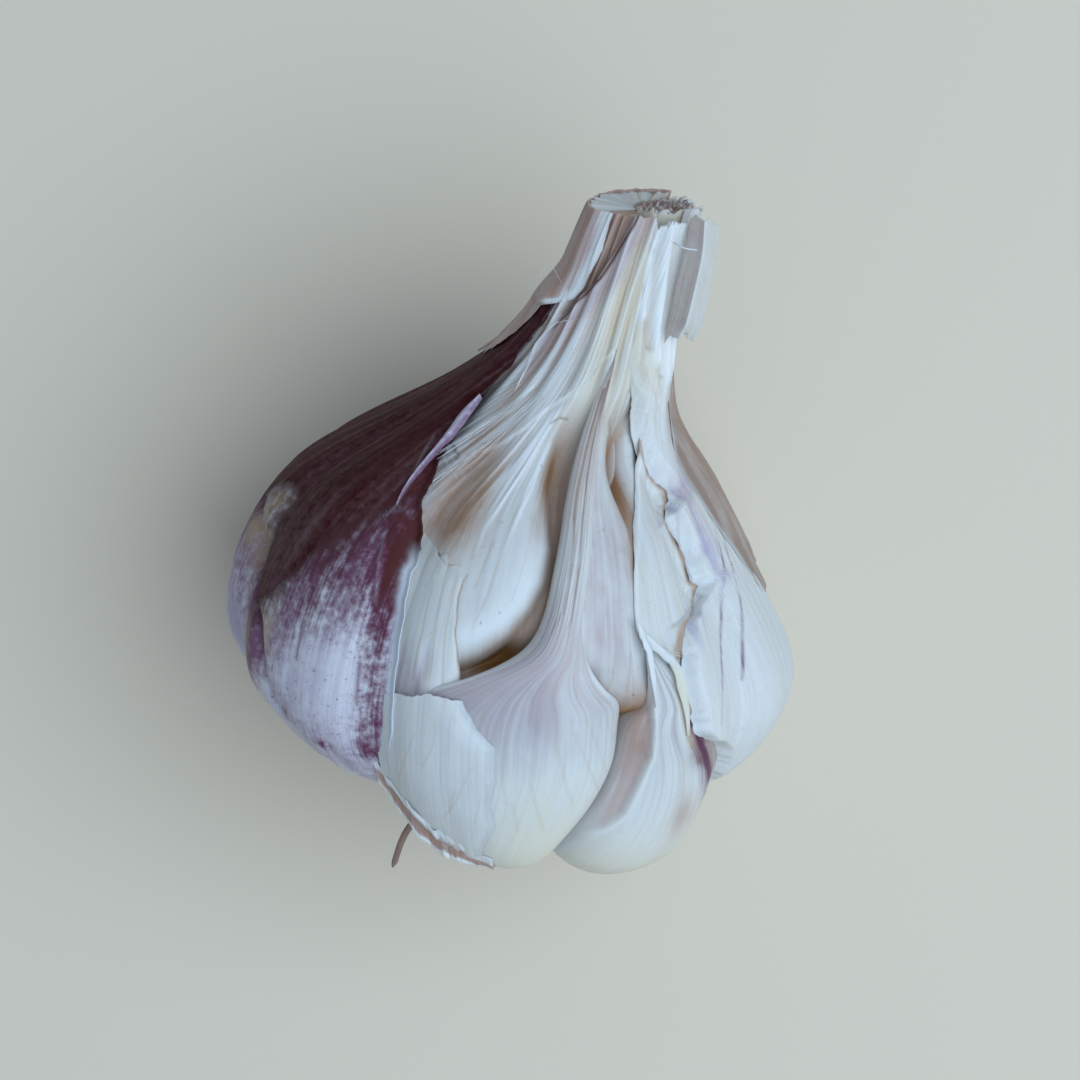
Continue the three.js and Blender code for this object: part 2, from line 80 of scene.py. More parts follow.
LEAN_SHIFTS = [-3.3, -3.3, -1.2, 1.4, 5.2, 7.8, 10.2]
SEAMS = [34, 118, 164, 200, 234, 270, 308, 352]
SEAM_DEPTH = 1.5
SEAM_WIDTH = 7
HEEL_ANGLES = [32, 45, 60, 75, 90, 105, 118]
HEEL_DROPS = [4.4, 7, 7.8, 7, 6.6, 4.6, 2]
ALONG_MM = 88  # millimetres over the surface for the whole way along


def limited(x):
    return np.clip(x, 0, 1)


def band(x, width):
    """1 where x is 0, and near 0 beyond a width on both sides of it."""
    return np.exp(-((x / width) ** 2))


def smooth(x, low, high):
    """0 up to low, 1 from high on, and a smooth change between. low may be the larger of the two."""
    t = limited((x - low) / (high - low))
    return t * t * (3 - 2 * t)


def mix(a, b, share):
    return a + (b - a) * share


def curve_through(places, values, at):
    """The smooth curve through a value at each of a rising list of places."""
    places = np.asarray(places, float)
    values = np.asarray(values, float)
    last = len(places) - 1
    x = np.clip(at, places[0], places[-1])
    i = np.clip(np.searchsorted(places, x) - 1, 0, last - 1)
    before = np.maximum(np.arange(last + 1) - 1, 0)
    after = np.minimum(np.arange(last + 1) + 1, last)
    slope = (values[after] - values[before]) / (places[after] - places[before])
    step = places[i + 1] - places[i]
    t = (x - places[i]) / step
    rise = 3 * t**2 - 2 * t**3
    bend = (t**3 - 2 * t**2 + t) * slope[i] + (t**3 - t**2) * slope[i + 1]
    return mix(values[i], values[i + 1], rise) + step * bend


def evenly(values, t):
    """The smooth curve through values at even steps from t = 0 to 1."""
    return curve_through(np.linspace(0, 1, len(values)), values, t)


def line_through(corners, t):
    """The smooth line through corners in space at even steps."""
    return np.stack([evenly([corner[axis] for corner in corners], t) for axis in range(3)], -1)


def read_off(place, rows, column=1):
    """The value in a column of rows of (place, value, ...), straight between one row and the next."""
    return np.interp(place, [row[0] for row in rows], [row[column] for row in rows])


def outside(angle, along, heels=False):
    """Radius and height of the cloves' outside."""
    c, s = np.cos(np.radians(angle)), np.sin(np.radians(angle))
    shares = {"right": np.maximum(c, 0) ** 2, "left": np.maximum(-c, 0) ** 2,
              "front": np.maximum(s, 0) ** 2, "under": np.maximum(-s, 0) ** 2}
    radius = sum(share * curve_through(STATIONS, [p[0] for p in OUTSIDE[side]], along)
                 for side, share in shares.items())
    height = sum(share * curve_through(STATIONS, [p[1] for p in OUTSIDE[side]], along)
                 for side, share in shares.items())
    belly = smooth(along, 0.02, 0.2) * (1 - smooth(along, 0.55, 0.82))
    for seam in SEAMS:
        away = (angle - seam + 180) % 360 - 180
        radius = radius - SEAM_DEPTH * belly * band(away, SEAM_WIDTH)
    if heels:
        hang = smooth(along, 0.02, 0.16) * (1 - smooth(along, 0.2, 0.44))
        height = height - curve_through(HEEL_ANGLES, HEEL_DROPS, angle) * hang
    return radius, height


def laid_down(angle, radius, height, depth):
    """Lays a point of the bulb down. The underside presses flat on the surface under it."""
    side = radius * np.cos(np.radians(angle)) + curve_through(LEAN_HEIGHTS, LEAN_SHIFTS, height)
    front = radius * np.sin(np.radians(angle))
    c, s = math.cos(TILT), math.sin(TILT)
    z = height * s + front * c + AXIS_HEIGHT
    return np.stack([side + PLATE_X, height * c - front * s + PLATE_Y, np.maximum(z, depth)], -1)


def above(angle, along, lifts, heels=False):
    """Points at each of some lifts above the outside, square to it."""
    step = 0.01
    radius, height = outside(angle, along, heels)
    r0, h0 = outside(angle, np.maximum(along - step, 0), heels)
    r1, h1 = outside(angle, np.minimum(along + step, 1), heels)
    size = np.hypot(r1 - r0, h1 - h0)
    out_r, out_h = (h1 - h0) / size, (r0 - r1) / size
    return [laid_down(angle, radius + lift * out_r, height + lift * out_h, np.maximum(OUTERMOST - lift, 0))
            for lift in lifts]


def inside(angle, along, out, heels=False):
    """A point between the core and the outside."""
    core_h = curve_through(STATIONS, CORE_HEIGHTS, along)
    radius, height = outside(angle, along, heels)
    depth = OUTERMOST + np.hypot(radius - CORE_R, height - core_h) * (1 - out)
    return laid_down(angle, mix(CORE_R, radius, out), mix(core_h, height, out), np.maximum(depth, 0))


def wander(x, y, seed):
    """Smooth chance heights from -1 to 1, with a bump to each unit of x and y. Each seed gives its own."""
    column, row = np.floor(x), np.floor(y)
    u, v = x - column, y - row
    u, v = u * u * (3 - 2 * u), v * v * (3 - 2 * v)

    def at(i, j):
        n = np.sin(i * 127.1 + j * 311.7 + seed * 74.7) * 43758.5453
        return 2 * (n - np.floor(n)) - 1

    low = mix(at(column, row), at(column + 1, row), u)
    high = mix(at(column, row + 1), at(column + 1, row + 1), u)
    return mix(low, high, v)


def from_end_to_end(rows, t):
    """From the first row's place at t = 0 to the last row's at t = 1."""
    return mix(rows[0][0], rows[-1][0], t)


def ripple(x, y, *layers):
    """Layers of wander added up, each as (height, its width in x, how many to a unit of y, seed)."""
    return sum(height * wander(x / width, y * count, seed) for height, width, count, seed in layers)


def fray(x, *layers):
    """The same for a line, with each layer as (height, its width in x, seed)."""
    return sum(height * wander(x / width, 0.5, seed) for height, width, seed in layers)


def ragged(along, seed):
    """How far a torn edge strays, in millimetres, at each place along it."""
    x = along * ALONG_MM
    return (0.45 * wander(x / 3.1, 0.3, seed) + 0.3 * wander(x / 1.1, 0.7, seed)
            + 0.14 * wander(x / 0.4, 0.5, seed))


def radius_at(angle, along):
    return outside(angle, along)[0]


def in_degrees(millimetres, angle, along):
    return np.degrees(millimetres / np.maximum(radius_at(angle, along), 3))


def torn(edge, along, seed, share):
    """The angle of a torn edge, which strays from its drawn line by a share of what ragged gives."""
    return edge + in_degrees(ragged(along, seed), edge, along) * share


def past_edge(edge, angle, along):
    """Millimetres over the surface from an edge to larger angles, and below 0 on its other side."""
    return (angle - edge) * np.radians(1) * radius_at(angle, along)


def line_distance(angle, along, line):
    """Millimetres over the surface from a line of (angle, along) points, and its side: over 0 on its left."""
    turn = np.radians(1) * radius_at(angle, along)
    best = np.full(np.shape(angle), 1e9)
    side = np.zeros(np.shape(angle))
    for (a0, u0), (a1, u1) in zip(line, line[1:]):
        px, py = (angle - a0) * turn, (along - u0) * ALONG_MM
        sx, sy = (a1 - a0) * turn, (u1 - u0) * ALONG_MM
        t = limited((px * sx + py * sy) / np.maximum(sx**2 + sy**2, 1e-9))
        away = np.hypot(px - t * sx, py - t * sy)
        closer = away < best
        best = np.where(closer, away, best)
        side = np.where(closer, sx * py - sy * px, side)
    return best, side


def stroke(angle, along, line, width):
    """1 on a line and near 0 beyond its width in millimetres."""
    return band(line_distance(angle, along, line)[0], width)


def strokes(angle, along, lines, width):
    return sum(stroke(angle, along, line, width) for line in lines)


def left_of(angle, along, line):
    """Millimetres to the left of a line, and below 0 on its right."""
    away, side = line_distance(angle, along, line)
    return np.where(side > 0, away, -away)


def within(angle, along, outline):
    """Millimetres inside a closed outline, and below 0 outside it."""
    away, _ = line_distance(angle, along, outline + outline[:1])
    crossings = np.zeros(np.shape(angle), bool)
    for (a0, u0), (a1, u1) in zip(outline, outline[1:] + outline[:1]):
        if u0 == u1:
            continue
        spans = (u0 > along) != (u1 > along)
        crossings ^= spans & (angle < a0 + (a1 - a0) * (along - u0) / (u1 - u0))
    return np.where(crossings, away, -away)


def spot(angle, along, at, size):
    """A soft round patch. size is half its width in degrees and half its length along."""
    return np.exp(-(((angle - at[0]) / size[0]) ** 2) - ((along - at[1]) / size[1]) ** 2)


def patches(angle, along, *rows):
    """Soft patches added up, each as (strength, its angle, its along, half its width, half its length)."""
    return sum(row[0] * spot(angle, along, row[1:3], row[3:5]) for row in rows)


# Making meshes

def add_piece(name, points, faces, marks, finish, stands_for=()):
    """A piece from points in millimetres, four-sided faces, and marks that tell its finish of each point."""
    mesh = bpy.data.meshes.new(name)
    mesh.vertices.add(len(points))
    mesh.vertices.foreach_set("co", (np.asarray(points) * MM).astype(np.float32).ravel())
    mesh.loops.add(faces.size)
    mesh.loops.foreach_set("vertex_index", faces.astype(np.int32).ravel())
    mesh.polygons.add(len(faces))
    mesh.polygons.foreach_set("loop_start", np.arange(0, faces.size, faces.shape[1], dtype=np.int32))
    mesh.polygons.foreach_set("loop_total", np.full(len(faces), faces.shape[1], np.int32))
    mesh.polygons.foreach_set("use_smooth", np.ones(len(faces), bool))
    mesh.update(calc_edges=True)
    for mark, values in {"coarse": np.ones(len(points)), **marks}.items():
        layer = mesh.attributes.new(mark, "FLOAT", "POINT")
        layer.data.foreach_set("value", np.asarray(values, np.float32).ravel())
    piece = bpy.data.objects.new(name, mesh)
    bpy.context.scene.collection.objects.link(piece)
    mesh.materials.append(finish)
    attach(piece, "root")
    if stands_for:
        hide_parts(*stands_for)
    return piece


def grid_faces(width, height, first, turned):
    """Faces of a grid of points that has width columns and height rows."""
    at = first + np.arange(width * height).reshape(height, width)
    corners = [at[:-1, :-1], at[:-1, 1:], at[1:, 1:], at[1:, :-1]]
    faces = np.stack(corners, -1).reshape(-1, 4)
    return faces[:, ::-1] if turned else faces


def rim_of(width, height):
    """The points round the rim of such a grid, in order."""
    at = np.arange(width * height).reshape(height, width)
    return np.concatenate([at[0, :-1], at[:-1, -1], at[-1, :0:-1], at[:0:-1, 0]])


def keep_rim_crisp(mesh, rims):
    """Marks the edges round a sheet's rim sharp, so its faces keep their own shading up to the torn edge."""
    ends = np.empty(len(mesh.edges) * 2, np.int32)
    mesh.edges.foreach_get("vertices", ends)
    ends = ends.reshape(-1, 2)
    crisp = np.zeros(len(ends), bool)
    for rim in rims:
        crisp |= np.isin(ends, rim).all(axis=1)
    layer = mesh.attributes.new("sharp_edge", "BOOLEAN", "EDGE")
    layer.data.foreach_set("value", crisp)


def on_both_faces(marks, shape):
    """Marks of a sheet, given once for its outer face and once for its inner one."""
    return {mark: np.concatenate([np.broadcast_to(v, shape).ravel()] * 2) for mark, v in marks.items()}


def skin_sheet(name, place, across, along, finish, stands_for=(), heels=False):
    """A dry skin with two faces, made of this many small faces across and along it.

    place(s, t) gives angle, along, lift, thickness and marks. s runs from 0 to 1 across it, and t from its
    foot to its top.
    """
    s, t = np.meshgrid(np.linspace(0, 1, across + 1), np.linspace(0, 1, along + 1))
    angle, length, lift, thick, marks = place(s, t)
    inner, outer = above(angle, length, [lift, lift + thick], heels)
    count = s.size
    points = np.concatenate([outer.reshape(-1, 3), inner.reshape(-1, 3)])
    rim = rim_of(across + 1, along + 1)
    after = np.roll(rim, -1)
    wall = np.stack([rim, rim + count, after + count, after], -1)
    turned = angle[0, 0] > angle[0, -1]
    if turned:
        wall = wall[:, ::-1]
    faces = np.concatenate([
        grid_faces(across + 1, along + 1, 0, turned),
        grid_faces(across + 1, along + 1, count, not turned),
        wall,
    ])
    both = on_both_faces({"fibre": angle, "along": length, **marks}, s.shape)
    piece = add_piece(name, points, faces, both, finish, stands_for)
    keep_rim_crisp(piece.data, (rim, rim + count))


def closed_rings(rings):
    """Points and faces of a body made of rings, with a fan of narrow faces closing each end."""
    height, width, _ = rings.shape
    points = np.concatenate([rings[:1].mean(1), rings.reshape(-1, 3), rings[-1:].mean(1)])
    at = 1 + np.arange(width * height).reshape(height, width)
    around = np.roll(at, -1, axis=1)
    sides = np.stack([at[:-1], around[:-1], around[1:], at[1:]], -1).reshape(-1, 4)
    first = np.stack([np.zeros(width, int), around[0], at[0]], -1)
    last = np.stack([np.full(width, len(points) - 1), at[-1], around[-1]], -1)
    return points, sides, np.concatenate([first, last])


def with_ends(marks, shape):
    """Marks of a body made of rings, with one more value for the point that closes each end."""
    flat = {mark: np.broadcast_to(v, shape).ravel() for mark, v in marks.items()}
    return {mark: np.concatenate([v[:1], v, v[-1:]]) for mark, v in flat.items()}


def close_ends(mesh, caps):
    """Adds the small triangles that close the two ends of a body."""
    work = bmesh.new()
    work.from_mesh(mesh)
    work.verts.ensure_lookup_table()
    for corners in caps:
        face = work.faces.new([work.verts[k] for k in corners])
        face.smooth = True
    bmesh.ops.recalc_face_normals(work, faces=work.faces)
    work.to_mesh(mesh)
    work.free()


ROD_TAPER = 0.35


def rods(paths, radii, sides):
    """Points and faces of thin rods, each along a path of points, thinner towards its end."""
    points, faces, shares = [], [], []
    count = 0
    turn = np.arange(sides) * 2 * np.pi / sides
    for path, radius in zip(paths, radii):
        path = np.asarray(path, float)
        way = np.gradient(path, axis=0)
        way /= np.linalg.norm(way, axis=1, keepdims=True)
        up = np.where(np.abs(way[:, 2:]) > 0.9, [[1.0, 0, 0]], [[0, 0, 1.0]])
        across = np.cross(up, way)
        across /= np.linalg.norm(across, axis=1, keepdims=True)
        upright = np.cross(way, across)
        share = np.linspace(0, 1, len(path))
        size = radius * (1 - ROD_TAPER * share)
        size[0] *= 0.6
        size[-1] *= 0.35
        c, s = np.cos(turn)[None, :, None], np.sin(turn)[None, :, None]
        ring = path[:, None] + size[:, None, None] * (c * across[:, None] + s * upright[:, None])
        at = count + np.arange(len(path) * sides).reshape(len(path), sides)
        around = np.roll(at, -1, axis=1)
        faces.append(np.stack([at[:-1], around[:-1], around[1:], at[1:]], -1).reshape(-1, 4))
        points.append(ring.reshape(-1, 3))
        shares.append(np.repeat(share, sides))
        count += len(path) * sides
    return np.concatenate(points), np.concatenate(faces), np.concatenate(shares)


# Finishes

def tone(hex_colour):
    """An sRGB hex colour as linear red, green and blue."""
    parts = [int(hex_colour[i:i + 2], 16) / 255 for i in (1, 3, 5)]
    return tuple(p / 12.92 if p <= 0.04045 else ((p + 0.055) / 1.055) ** 2.4 for p in parts) + (1.0,)


def add_node(tree, kind, settings=None, sockets=None):
    """Adds a node, sets its options, and fills its sockets with values or links."""
    new = tree.nodes.new(kind)
    for option, value in (settings or {}).items():
        setattr(new, option, value)
    for place, value in (sockets or {}).items():
        if isinstance(value, bpy.types.NodeSocket):
            tree.links.new(value, new.inputs[place])
        else:
            new.inputs[place].default_value = value
    return new


SKIN_IOR = 1.45
GLOW_DEPTH = 0.9
GLOW_SHARES = (1.0, 0.75, 0.5)  # light goes deepest in red, so a thin edge glows warm
DOT_SIZE = 0.34


def plant_finish(name, ground, tints, fibres, roughness, bump, soft, speckle, gloss=0.5, spot_mm=1.6):
    """Dry or fresh plant skin: a ground colour, fine fibres along it, and tints where the marks say.

    tints are (mark, colour, how far fibres break it up, how far small blotches do).
    fibres are (colour, strength, how many to a degree), and speckle is (colour, strength).
    Real fibres lie roughly 0.1 mm apart, which is one pixel here, so they are drawn about 0.3 mm apart.
    """
    finish = bpy.data.materials.new(name)
    finish.use_nodes = True
    tree = finish.node_tree
    shader = tree.nodes["Principled BSDF"]
    fibre_colour, fibre_strength, fibre_count = fibres
    speckle_colour, speckle_strength = speckle
    marks = {mark: add_node(tree, "ShaderNodeAttribute", {"attribute_name": mark}).outputs["Fac"]
             for mark in ["fibre", "along", "coarse"] + [tint[0] for tint in tints]}
    flat = add_node(tree, "ShaderNodeCombineXYZ", None, {"X": marks["fibre"], "Y": marks["along"]}).outputs[0]

    # Fine fibres, broad fibres and loose patches, each as (how many to a degree, length, detail)
    layers = [(fibre_count, 9, 2), (fibre_count / 4.5, 22, 3), (0.16, 4.5, 3)]
    grains = []
    for layer, (count, length, detail) in enumerate(layers):
        place = add_node(tree, "ShaderNodeMapping", None, {
            "Vector": flat, "Location": (0, 0, 1.3 + 3.7 * layer),
            "Scale": (count, ALONG_MM / length, 1)}).outputs[0]
        grains.append(add_node(tree, "ShaderNodeTexNoise", None, {
            "Vector": place, "Scale": 1.0, "Detail": detail, "Roughness": 0.6}).outputs["Fac"])
    fine, broad, patchy = grains
    streaks = add_node(tree, "ShaderNodeMath", {"operation": "ADD"}, {0: fine, 1: broad}).outputs[0]
    streaks = add_node(tree, "ShaderNodeMath", {"operation": "ADD"}, {0: streaks, 1: patchy}).outputs[0]
    body = add_node(tree, "ShaderNodeTexCoord").outputs["Object"]
    spots, dots = (add_node(tree, "ShaderNodeTexNoise", None, {
        "Vector": body, "Scale": 1 / (size * MM), "Detail": detail, "Roughness": 0.65}).outputs["Fac"]
        for size, detail in ((spot_mm, 4), (DOT_SIZE, 2)))

    share = add_node(tree, "ShaderNodeMapRange", None, {
        "Value": fine, "From Min": 0.42, "From Max": 0.7, "To Min": 0.0, "To Max": fibre_strength}).outputs[0]
    share = add_node(tree, "ShaderNodeMath", {"operation": "MULTIPLY"}, {
        0: share, 1: marks["coarse"]}).outputs[0]
    colour = add_node(tree, "ShaderNodeMix", {"data_type": "RGBA"}, {
        0: share, 6: tone(ground), 7: tone(fibre_colour)}).outputs[2]
    dots = add_node(tree, "ShaderNodeMath", {"operation": "MULTIPLY_ADD"}, {
        0: spots, 1: 0.5, 2: dots}).outputs[0]
    dots = add_node(tree, "ShaderNodeMapRange", None, {
        "Value": dots, "From Min": 0.86, "From Max": 0.98,
        "To Min": 0.0, "To Max": speckle_strength}).outputs[0]
    colour = add_node(tree, "ShaderNodeMix", {"data_type": "RGBA"}, {
        0: dots, 6: colour, 7: tone(speckle_colour)}).outputs[2]

    # Each tint strays by the fibres and blotches, but only where its mark is more than nothing
    for mark, tint, by_fibres, by_spots in tints:
        amount = marks[mark]
        if by_fibres or by_spots:
            stray = add_node(tree, "ShaderNodeMath", {"operation": "MULTIPLY_ADD"}, {
                0: streaks, 1: by_fibres, 2: -1.5 * by_fibres - 0.5 * by_spots}).outputs[0]
            stray = add_node(tree, "ShaderNodeMath", {"operation": "MULTIPLY_ADD"}, {
                0: spots, 1: by_spots, 2: stray}).outputs[0]
            present = add_node(tree, "ShaderNodeMath", {"operation": "MULTIPLY", "use_clamp": True}, {
                0: amount, 1: 3.0}).outputs[0]
            amount = add_node(tree, "ShaderNodeMath", {"operation": "MULTIPLY_ADD", "use_clamp": True}, {
                0: stray, 1: present, 2: amount}).outputs[0]
        colour = add_node(tree, "ShaderNodeMix", {"data_type": "RGBA"}, {
            0: amount, 6: colour, 7: tone(tint)}).outputs[2]
    tree.links.new(colour, shader.inputs["Base Color"])
    shader.inputs["Roughness"].default_value = roughness
    shader.inputs["IOR"].default_value = SKIN_IOR
    shader.inputs["Specular IOR Level"].default_value = gloss
    shader.inputs["Subsurface Weight"].default_value = soft
    shader.inputs["Subsurface Radius"].default_value = GLOW_SHARES
    shader.inputs["Subsurface Scale"].default_value = GLOW_DEPTH * MM
    height = add_node(tree, "ShaderNodeMath", {"operation": "MULTIPLY_ADD"}, {
        0: broad, 1: 1.2, 2: fine}).outputs[0]
    height = add_node(tree, "ShaderNodeMath", {"operation": "MULTIPLY"}, {
        0: height, 1: marks["coarse"]}).outputs[0]
    relief = add_node(tree, "ShaderNodeBump", None, {
        "Strength": 1.0, "Distance": bump * MM, "Height": height}).outputs[0]
    tree.links.new(relief, shader.inputs["Normal"])
    return finish


# The cloves' own skin: a thin living leaf that grew pressed tight against its neighbours. That left it smooth
# and faintly waxy, so it has a soft sheen and fine veins, and glows warm where the light goes far in. Its
# warm brown tint for surfaces that lie in towards the core is painted shade.
clove_skin = plant_finish(
    "clove_skin", "#dfe1e0", [
        ("cream", "#e9e2cd", 0.25, 0.3), ("lilac", "#aaa2ac", 0.5, 0.2), ("pink", "#d6bcb4", 0.5, 0.0),
        ("vein", "#b89f7c", 0.0, 0.0), ("pale", "#f1f2f1", 0.0, 0.0), ("brown", "#a08270", 0.4, 0.4),
        ("purple", "#6b3f5e", 0.6, 0.6), ("painted_shade", "#9a6a3c", 0.0, 0.0), ("magenta", "#5a1f48", 0.2, 0.2),
    ], ("#cfd0ce", 0.5, 1.5), 0.45, 0.035, 0.35, ("#c0ad90", 0.2))

# The white wrapper: a leaf base that dried in air after the harvest. It shrank on to its long fibres, so it
# is papery, matt and finely ribbed, with a faint purple vein here and there.
# Its warm brown tint is painted shade, laid along the torn edge where it runs up the neck.
white_skin = plant_finish(
    "dry_white_skin", "#e0e1e1", [
        ("cream", "#e0d4b6", 0.4, 0.3), ("lilac", "#a9a0bd", 0.6, 0.8), ("pink", "#d2b8b0", 0.5, 0.2),
        ("vein", "#b0906c", 0.0, 0.0), ("pale", "#f2f4f5", 0.0, 0.0), ("brown", "#a4897a", 0.5, 0.4),
        ("purple", "#6b4270", 0.6, 0.9), ("painted_shade", "#7d5c3c", 0.0, 0.0),
    ], ("#cacbcc", 0.6, 1.3), 0.55, 0.07, 0.3, ("#b3a18a", 0.25))

# The purple wrapper: a dried leaf base whose pigment was laid down in streaks and dots as it grew. It is
# lilac white where the pigment is thin and nearly solid aubergine towards the neck. Drying left it matt.
# Its sheen tint is partly a painted reflection on the dark part and partly that part's grey brown mottle and
# streaks.
purple_skin = plant_finish(
    "dry_purple_skin", "#dedde6", [
        ("lilac", "#bdb3cb", 0.7, 0.9), ("purple", "#84607a", 0.6, 1.5), ("magenta", "#70305a", 0.9, 2.2),
        ("tan", "#b09a84", 0.3, 1.5), ("dark", "#3a0711", 0.25, 0.5), ("brown", "#542a2a", 0.8, 1.0),
        ("sheen", "#6b5055", 0.5, 1.8), ("vein", "#6b3f55", 0.0, 0.0), ("pale", "#e0e8f2", 0.0, 0.0),
    ], ("#cac3d2", 0.4, 1.6), 0.6, 0.05, 0.1, ("#74506f", 0.7), gloss=0.1, spot_mm=0.9)

# The neck's leaf bases, and the thin skins over the inner cloves: the lower ends of leaves that dried stiff
# on the stalk. Their ribs stand out, so they are matt, cream to pink lilac, and darker between the ribs.
# Its warm brown tint is painted shade, laid in the hollows between the inner cloves and in the lowest gap.
leaf_base = plant_finish(
    "dry_leaf_base", "#e0e1e0", [
        ("cream", "#e6d8bd", 0.4, 0.2), ("lilac", "#b09aa6", 0.7, 0.3), ("pink", "#cfb2a8", 0.6, 0.2),
        ("vein", "#b8966c", 0.2, 0.0), ("pale", "#f1f2f2", 0.0, 0.0), ("brown", "#a27a60", 0.4, 0.3),
        ("purple", "#6a3a34", 0.3, 0.0), ("painted_shade", "#9a6a3c", 0.0, 0.0),
    ], ("#c6c1bf", 0.7, 0.9), 0.58, 0.08, 0.25, ("#b09a84", 0.25))

# The root plate and roots: stem and root tissue that turned to cork as it dried, and was rubbed in soil. It
# is rough and tan, with no shine, and darker in its hollows.
corky_plate = plant_finish(
    "corky_plate", "#a08a6c", [("brown", "#6b5138", 0.8, 0.8), ("pink", "#9c837c", 0.5, 0.4)],
    ("#6e573c", 0.8, 0.6), 0.85, 0.25, 0.1, ("#4f3c2a", 0.6))


# Cloves

ROUND = 3.0  # how square a clove's section is: 2 is an ellipse
FRONT_SHARE = 0.62  # of the points round a clove, how many are on its front


def clove_rings(stops, heels, rows, columns):
    """Rings round a clove. Each stop is along, right angle, left angle, and how far out its two faces lie."""
    places = [stop[0] for stop in stops]
    along = np.linspace(places[0], places[-1], rows)[:, None]
    right, left, low, high = (curve_through(places, [stop[k] for stop in stops], along) for k in (1, 2, 3, 4))
    count_front = int(columns * FRONT_SHARE)
    front = np.linspace(0, np.pi, count_front, endpoint=False)
    back = np.linspace(np.pi, 2 * np.pi, columns - count_front, endpoint=False)
    turn = np.concatenate([front, back])[None, :]
    c, s = np.cos(turn), np.sin(turn)
    size = (np.abs(c) ** ROUND + np.abs(s) ** ROUND) ** (-1 / ROUND)
    middle = (right + left) / 2
    radius = mix(CORE_R, outside(middle, along, heels)[0], (low + high) / 2)
    half = np.maximum((left - right) / 2 - np.degrees(GAP / 2 / radius), 0.5)
    out = (low + high) / 2 + (high - low) / 2 * s * size
    across = c * size
    return middle + half * across, along + 0 * turn, out, across


def clove(name, stops, heels, rows, columns, paint):
    """A clove's closed body. paint gives its marks and the millimetres by which each point stands proud."""
    angle, along, out, across = clove_rings(stops, heels, rows, columns)
    marks, proud = paint(angle, along, out, across)
    core_h = curve_through(STATIONS, CORE_HEIGHTS, along)
    radius, height = outside(angle, along, heels)
    out = out + proud / np.hypot(radius - CORE_R, height - core_h)
    points, sides, caps = closed_rings(inside(angle, along, out, heels))
    shown = with_ends({"fibre": angle, "along": along, **marks}, angle.shape)
    piece = add_piece(name, points, sides, shown, clove_skin, (name,))
    close_ends(piece.data, caps)


INNER_ALONG = [0.035, 0.15, 0.3, 0.42, 0.48, 0.54, 0.6, 0.7, 0.8]
DEEP_FACE = [0.3, 0.32, 0.4, 0.46, 0.56, 0.7, 0.78, 0.8, 0.8]
CLOVE_HEEL = 0.035
CLOVE_TIP = 0.79
ROUND_CLOVES = [
    ("clove_right", -8, 34, None), ("clove_left", 118, 164, None), ("clove_far_left", 164, 200, None),
    ("clove_back_left", 200, 234, None), ("clove_under_left", 234, 270, None),
    ("clove_under_right", 270, 308, None), ("clove_back_right", 308, 352, None),
    ("clove_inner_left", 81.5, 118, DEEP_FACE), ("clove_inner_middle", 57, 81.5, DEEP_FACE),
    ("clove_inner_right", 34, 57, DEEP_FACE),
]


def round_clove_stops(from_angle, to_angle, face):
    stops = []
    for k in range(17):
        share = (1 - math.cos(math.pi * mix(0.05, 0.96, k / 16))) / 2
        along = mix(CLOVE_HEEL, CLOVE_TIP, share)
        full = (1 - abs(2 * share - 1) ** 3.4) ** 0.42
        reach = curve_through(INNER_ALONG, face, along) if face else 0.985 - 0.09 * smooth(along, 0.55, 0.72)
        half = (to_angle - from_angle) / 2 * full
        middle = (from_angle + to_angle) / 2
        back = mix(reach * 0.5, 0.03, full)
        front = mix(reach * 0.6, reach, full)
        stops.append((along, middle - half, middle + half, back, front))
    return stops


def plain_paint(angle, along, out, across):
    # Painted shade: warm brown on the surfaces that lie in towards the core
    painted_shade = (1 - smooth(out, 0.5, 0.95)) * smooth(along, 0.2, 0.45)
    marks = {"painted_shade": 0.9 * painted_shade, "cream": 0.3 * (1 - smooth(along, 0.1, 0.5))}
    return marks, 0.05 * wander(angle / 1.7, along * 9, 4)


for name, from_angle, to_angle, face in ROUND_CLOVES:
    clove(name, round_clove_stops(from_angle, to_angle, face), False, 90, 72, plain_paint)

# Squat front clove: its skin sweeps up from the bell's lip into a long strand that reaches the neck
FRONT_STOPS = [
    (0.045, 86, 94, 0.62, 0.72), (0.06, 80, 100, 0.5, 0.86), (0.1, 77.5, 107, 0.42, 0.97),
    (0.17, 77, 112, 0.42, 1),
    (0.24, 73.5, 115.5, 0.46, 1), (0.31, 67, 117, 0.52, 1), (0.36, 63.5, 117, 0.57, 1),
    (0.41, 62.8, 116.5, 0.64, 1),
    (0.44, 63.5, 114, 0.76, 1), (0.462, 67.5, 107, 0.9, 1), (0.482, 70.5, 98, 0.94, 1.01),
    (0.503, 72.2, 87.5, 0.86, 1.02), (0.53, 73, 83, 0.82, 1.03), (0.58, 72, 80.8, 0.8, 1.035),
    (0.65, 69.5, 79, 0.8, 1.035), (0.72, 70, 79.5, 0.82, 1.04), (0.77, 72.5, 80, 0.86, 1.04),
    (0.8, 73.5, 79, 0.9, 1.05), (0.828, 74.5, 77, 0.88, 0.97),
]
FRONT_VEINS = [
    [(75.5, 0.42), (72, 0.37), (69, 0.335)], [(72.5, 0.43), (69, 0.38), (66.5, 0.345)], [(79, 0.4),
     (77, 0.35), (75, 0.32)],
    [(84.5, 0.36), (83, 0.32), (81.5, 0.29)], [(90.5, 0.4), (90, 0.36), (89.5, 0.33)], [(70, 0.455),
     (67, 0.41)],
    [(95, 0.45), (93, 0.42)], [(88, 0.33), (87, 0.29)],
]
STRAND_LINES = [
    [(75.5, 0.79), (75, 0.72), (74, 0.66), (75.5, 0.6), (77, 0.54), (80, 0.51)],
    [(77.5, 0.78), (77, 0.7), (77, 0.62), (79, 0.55), (84, 0.505)],
]


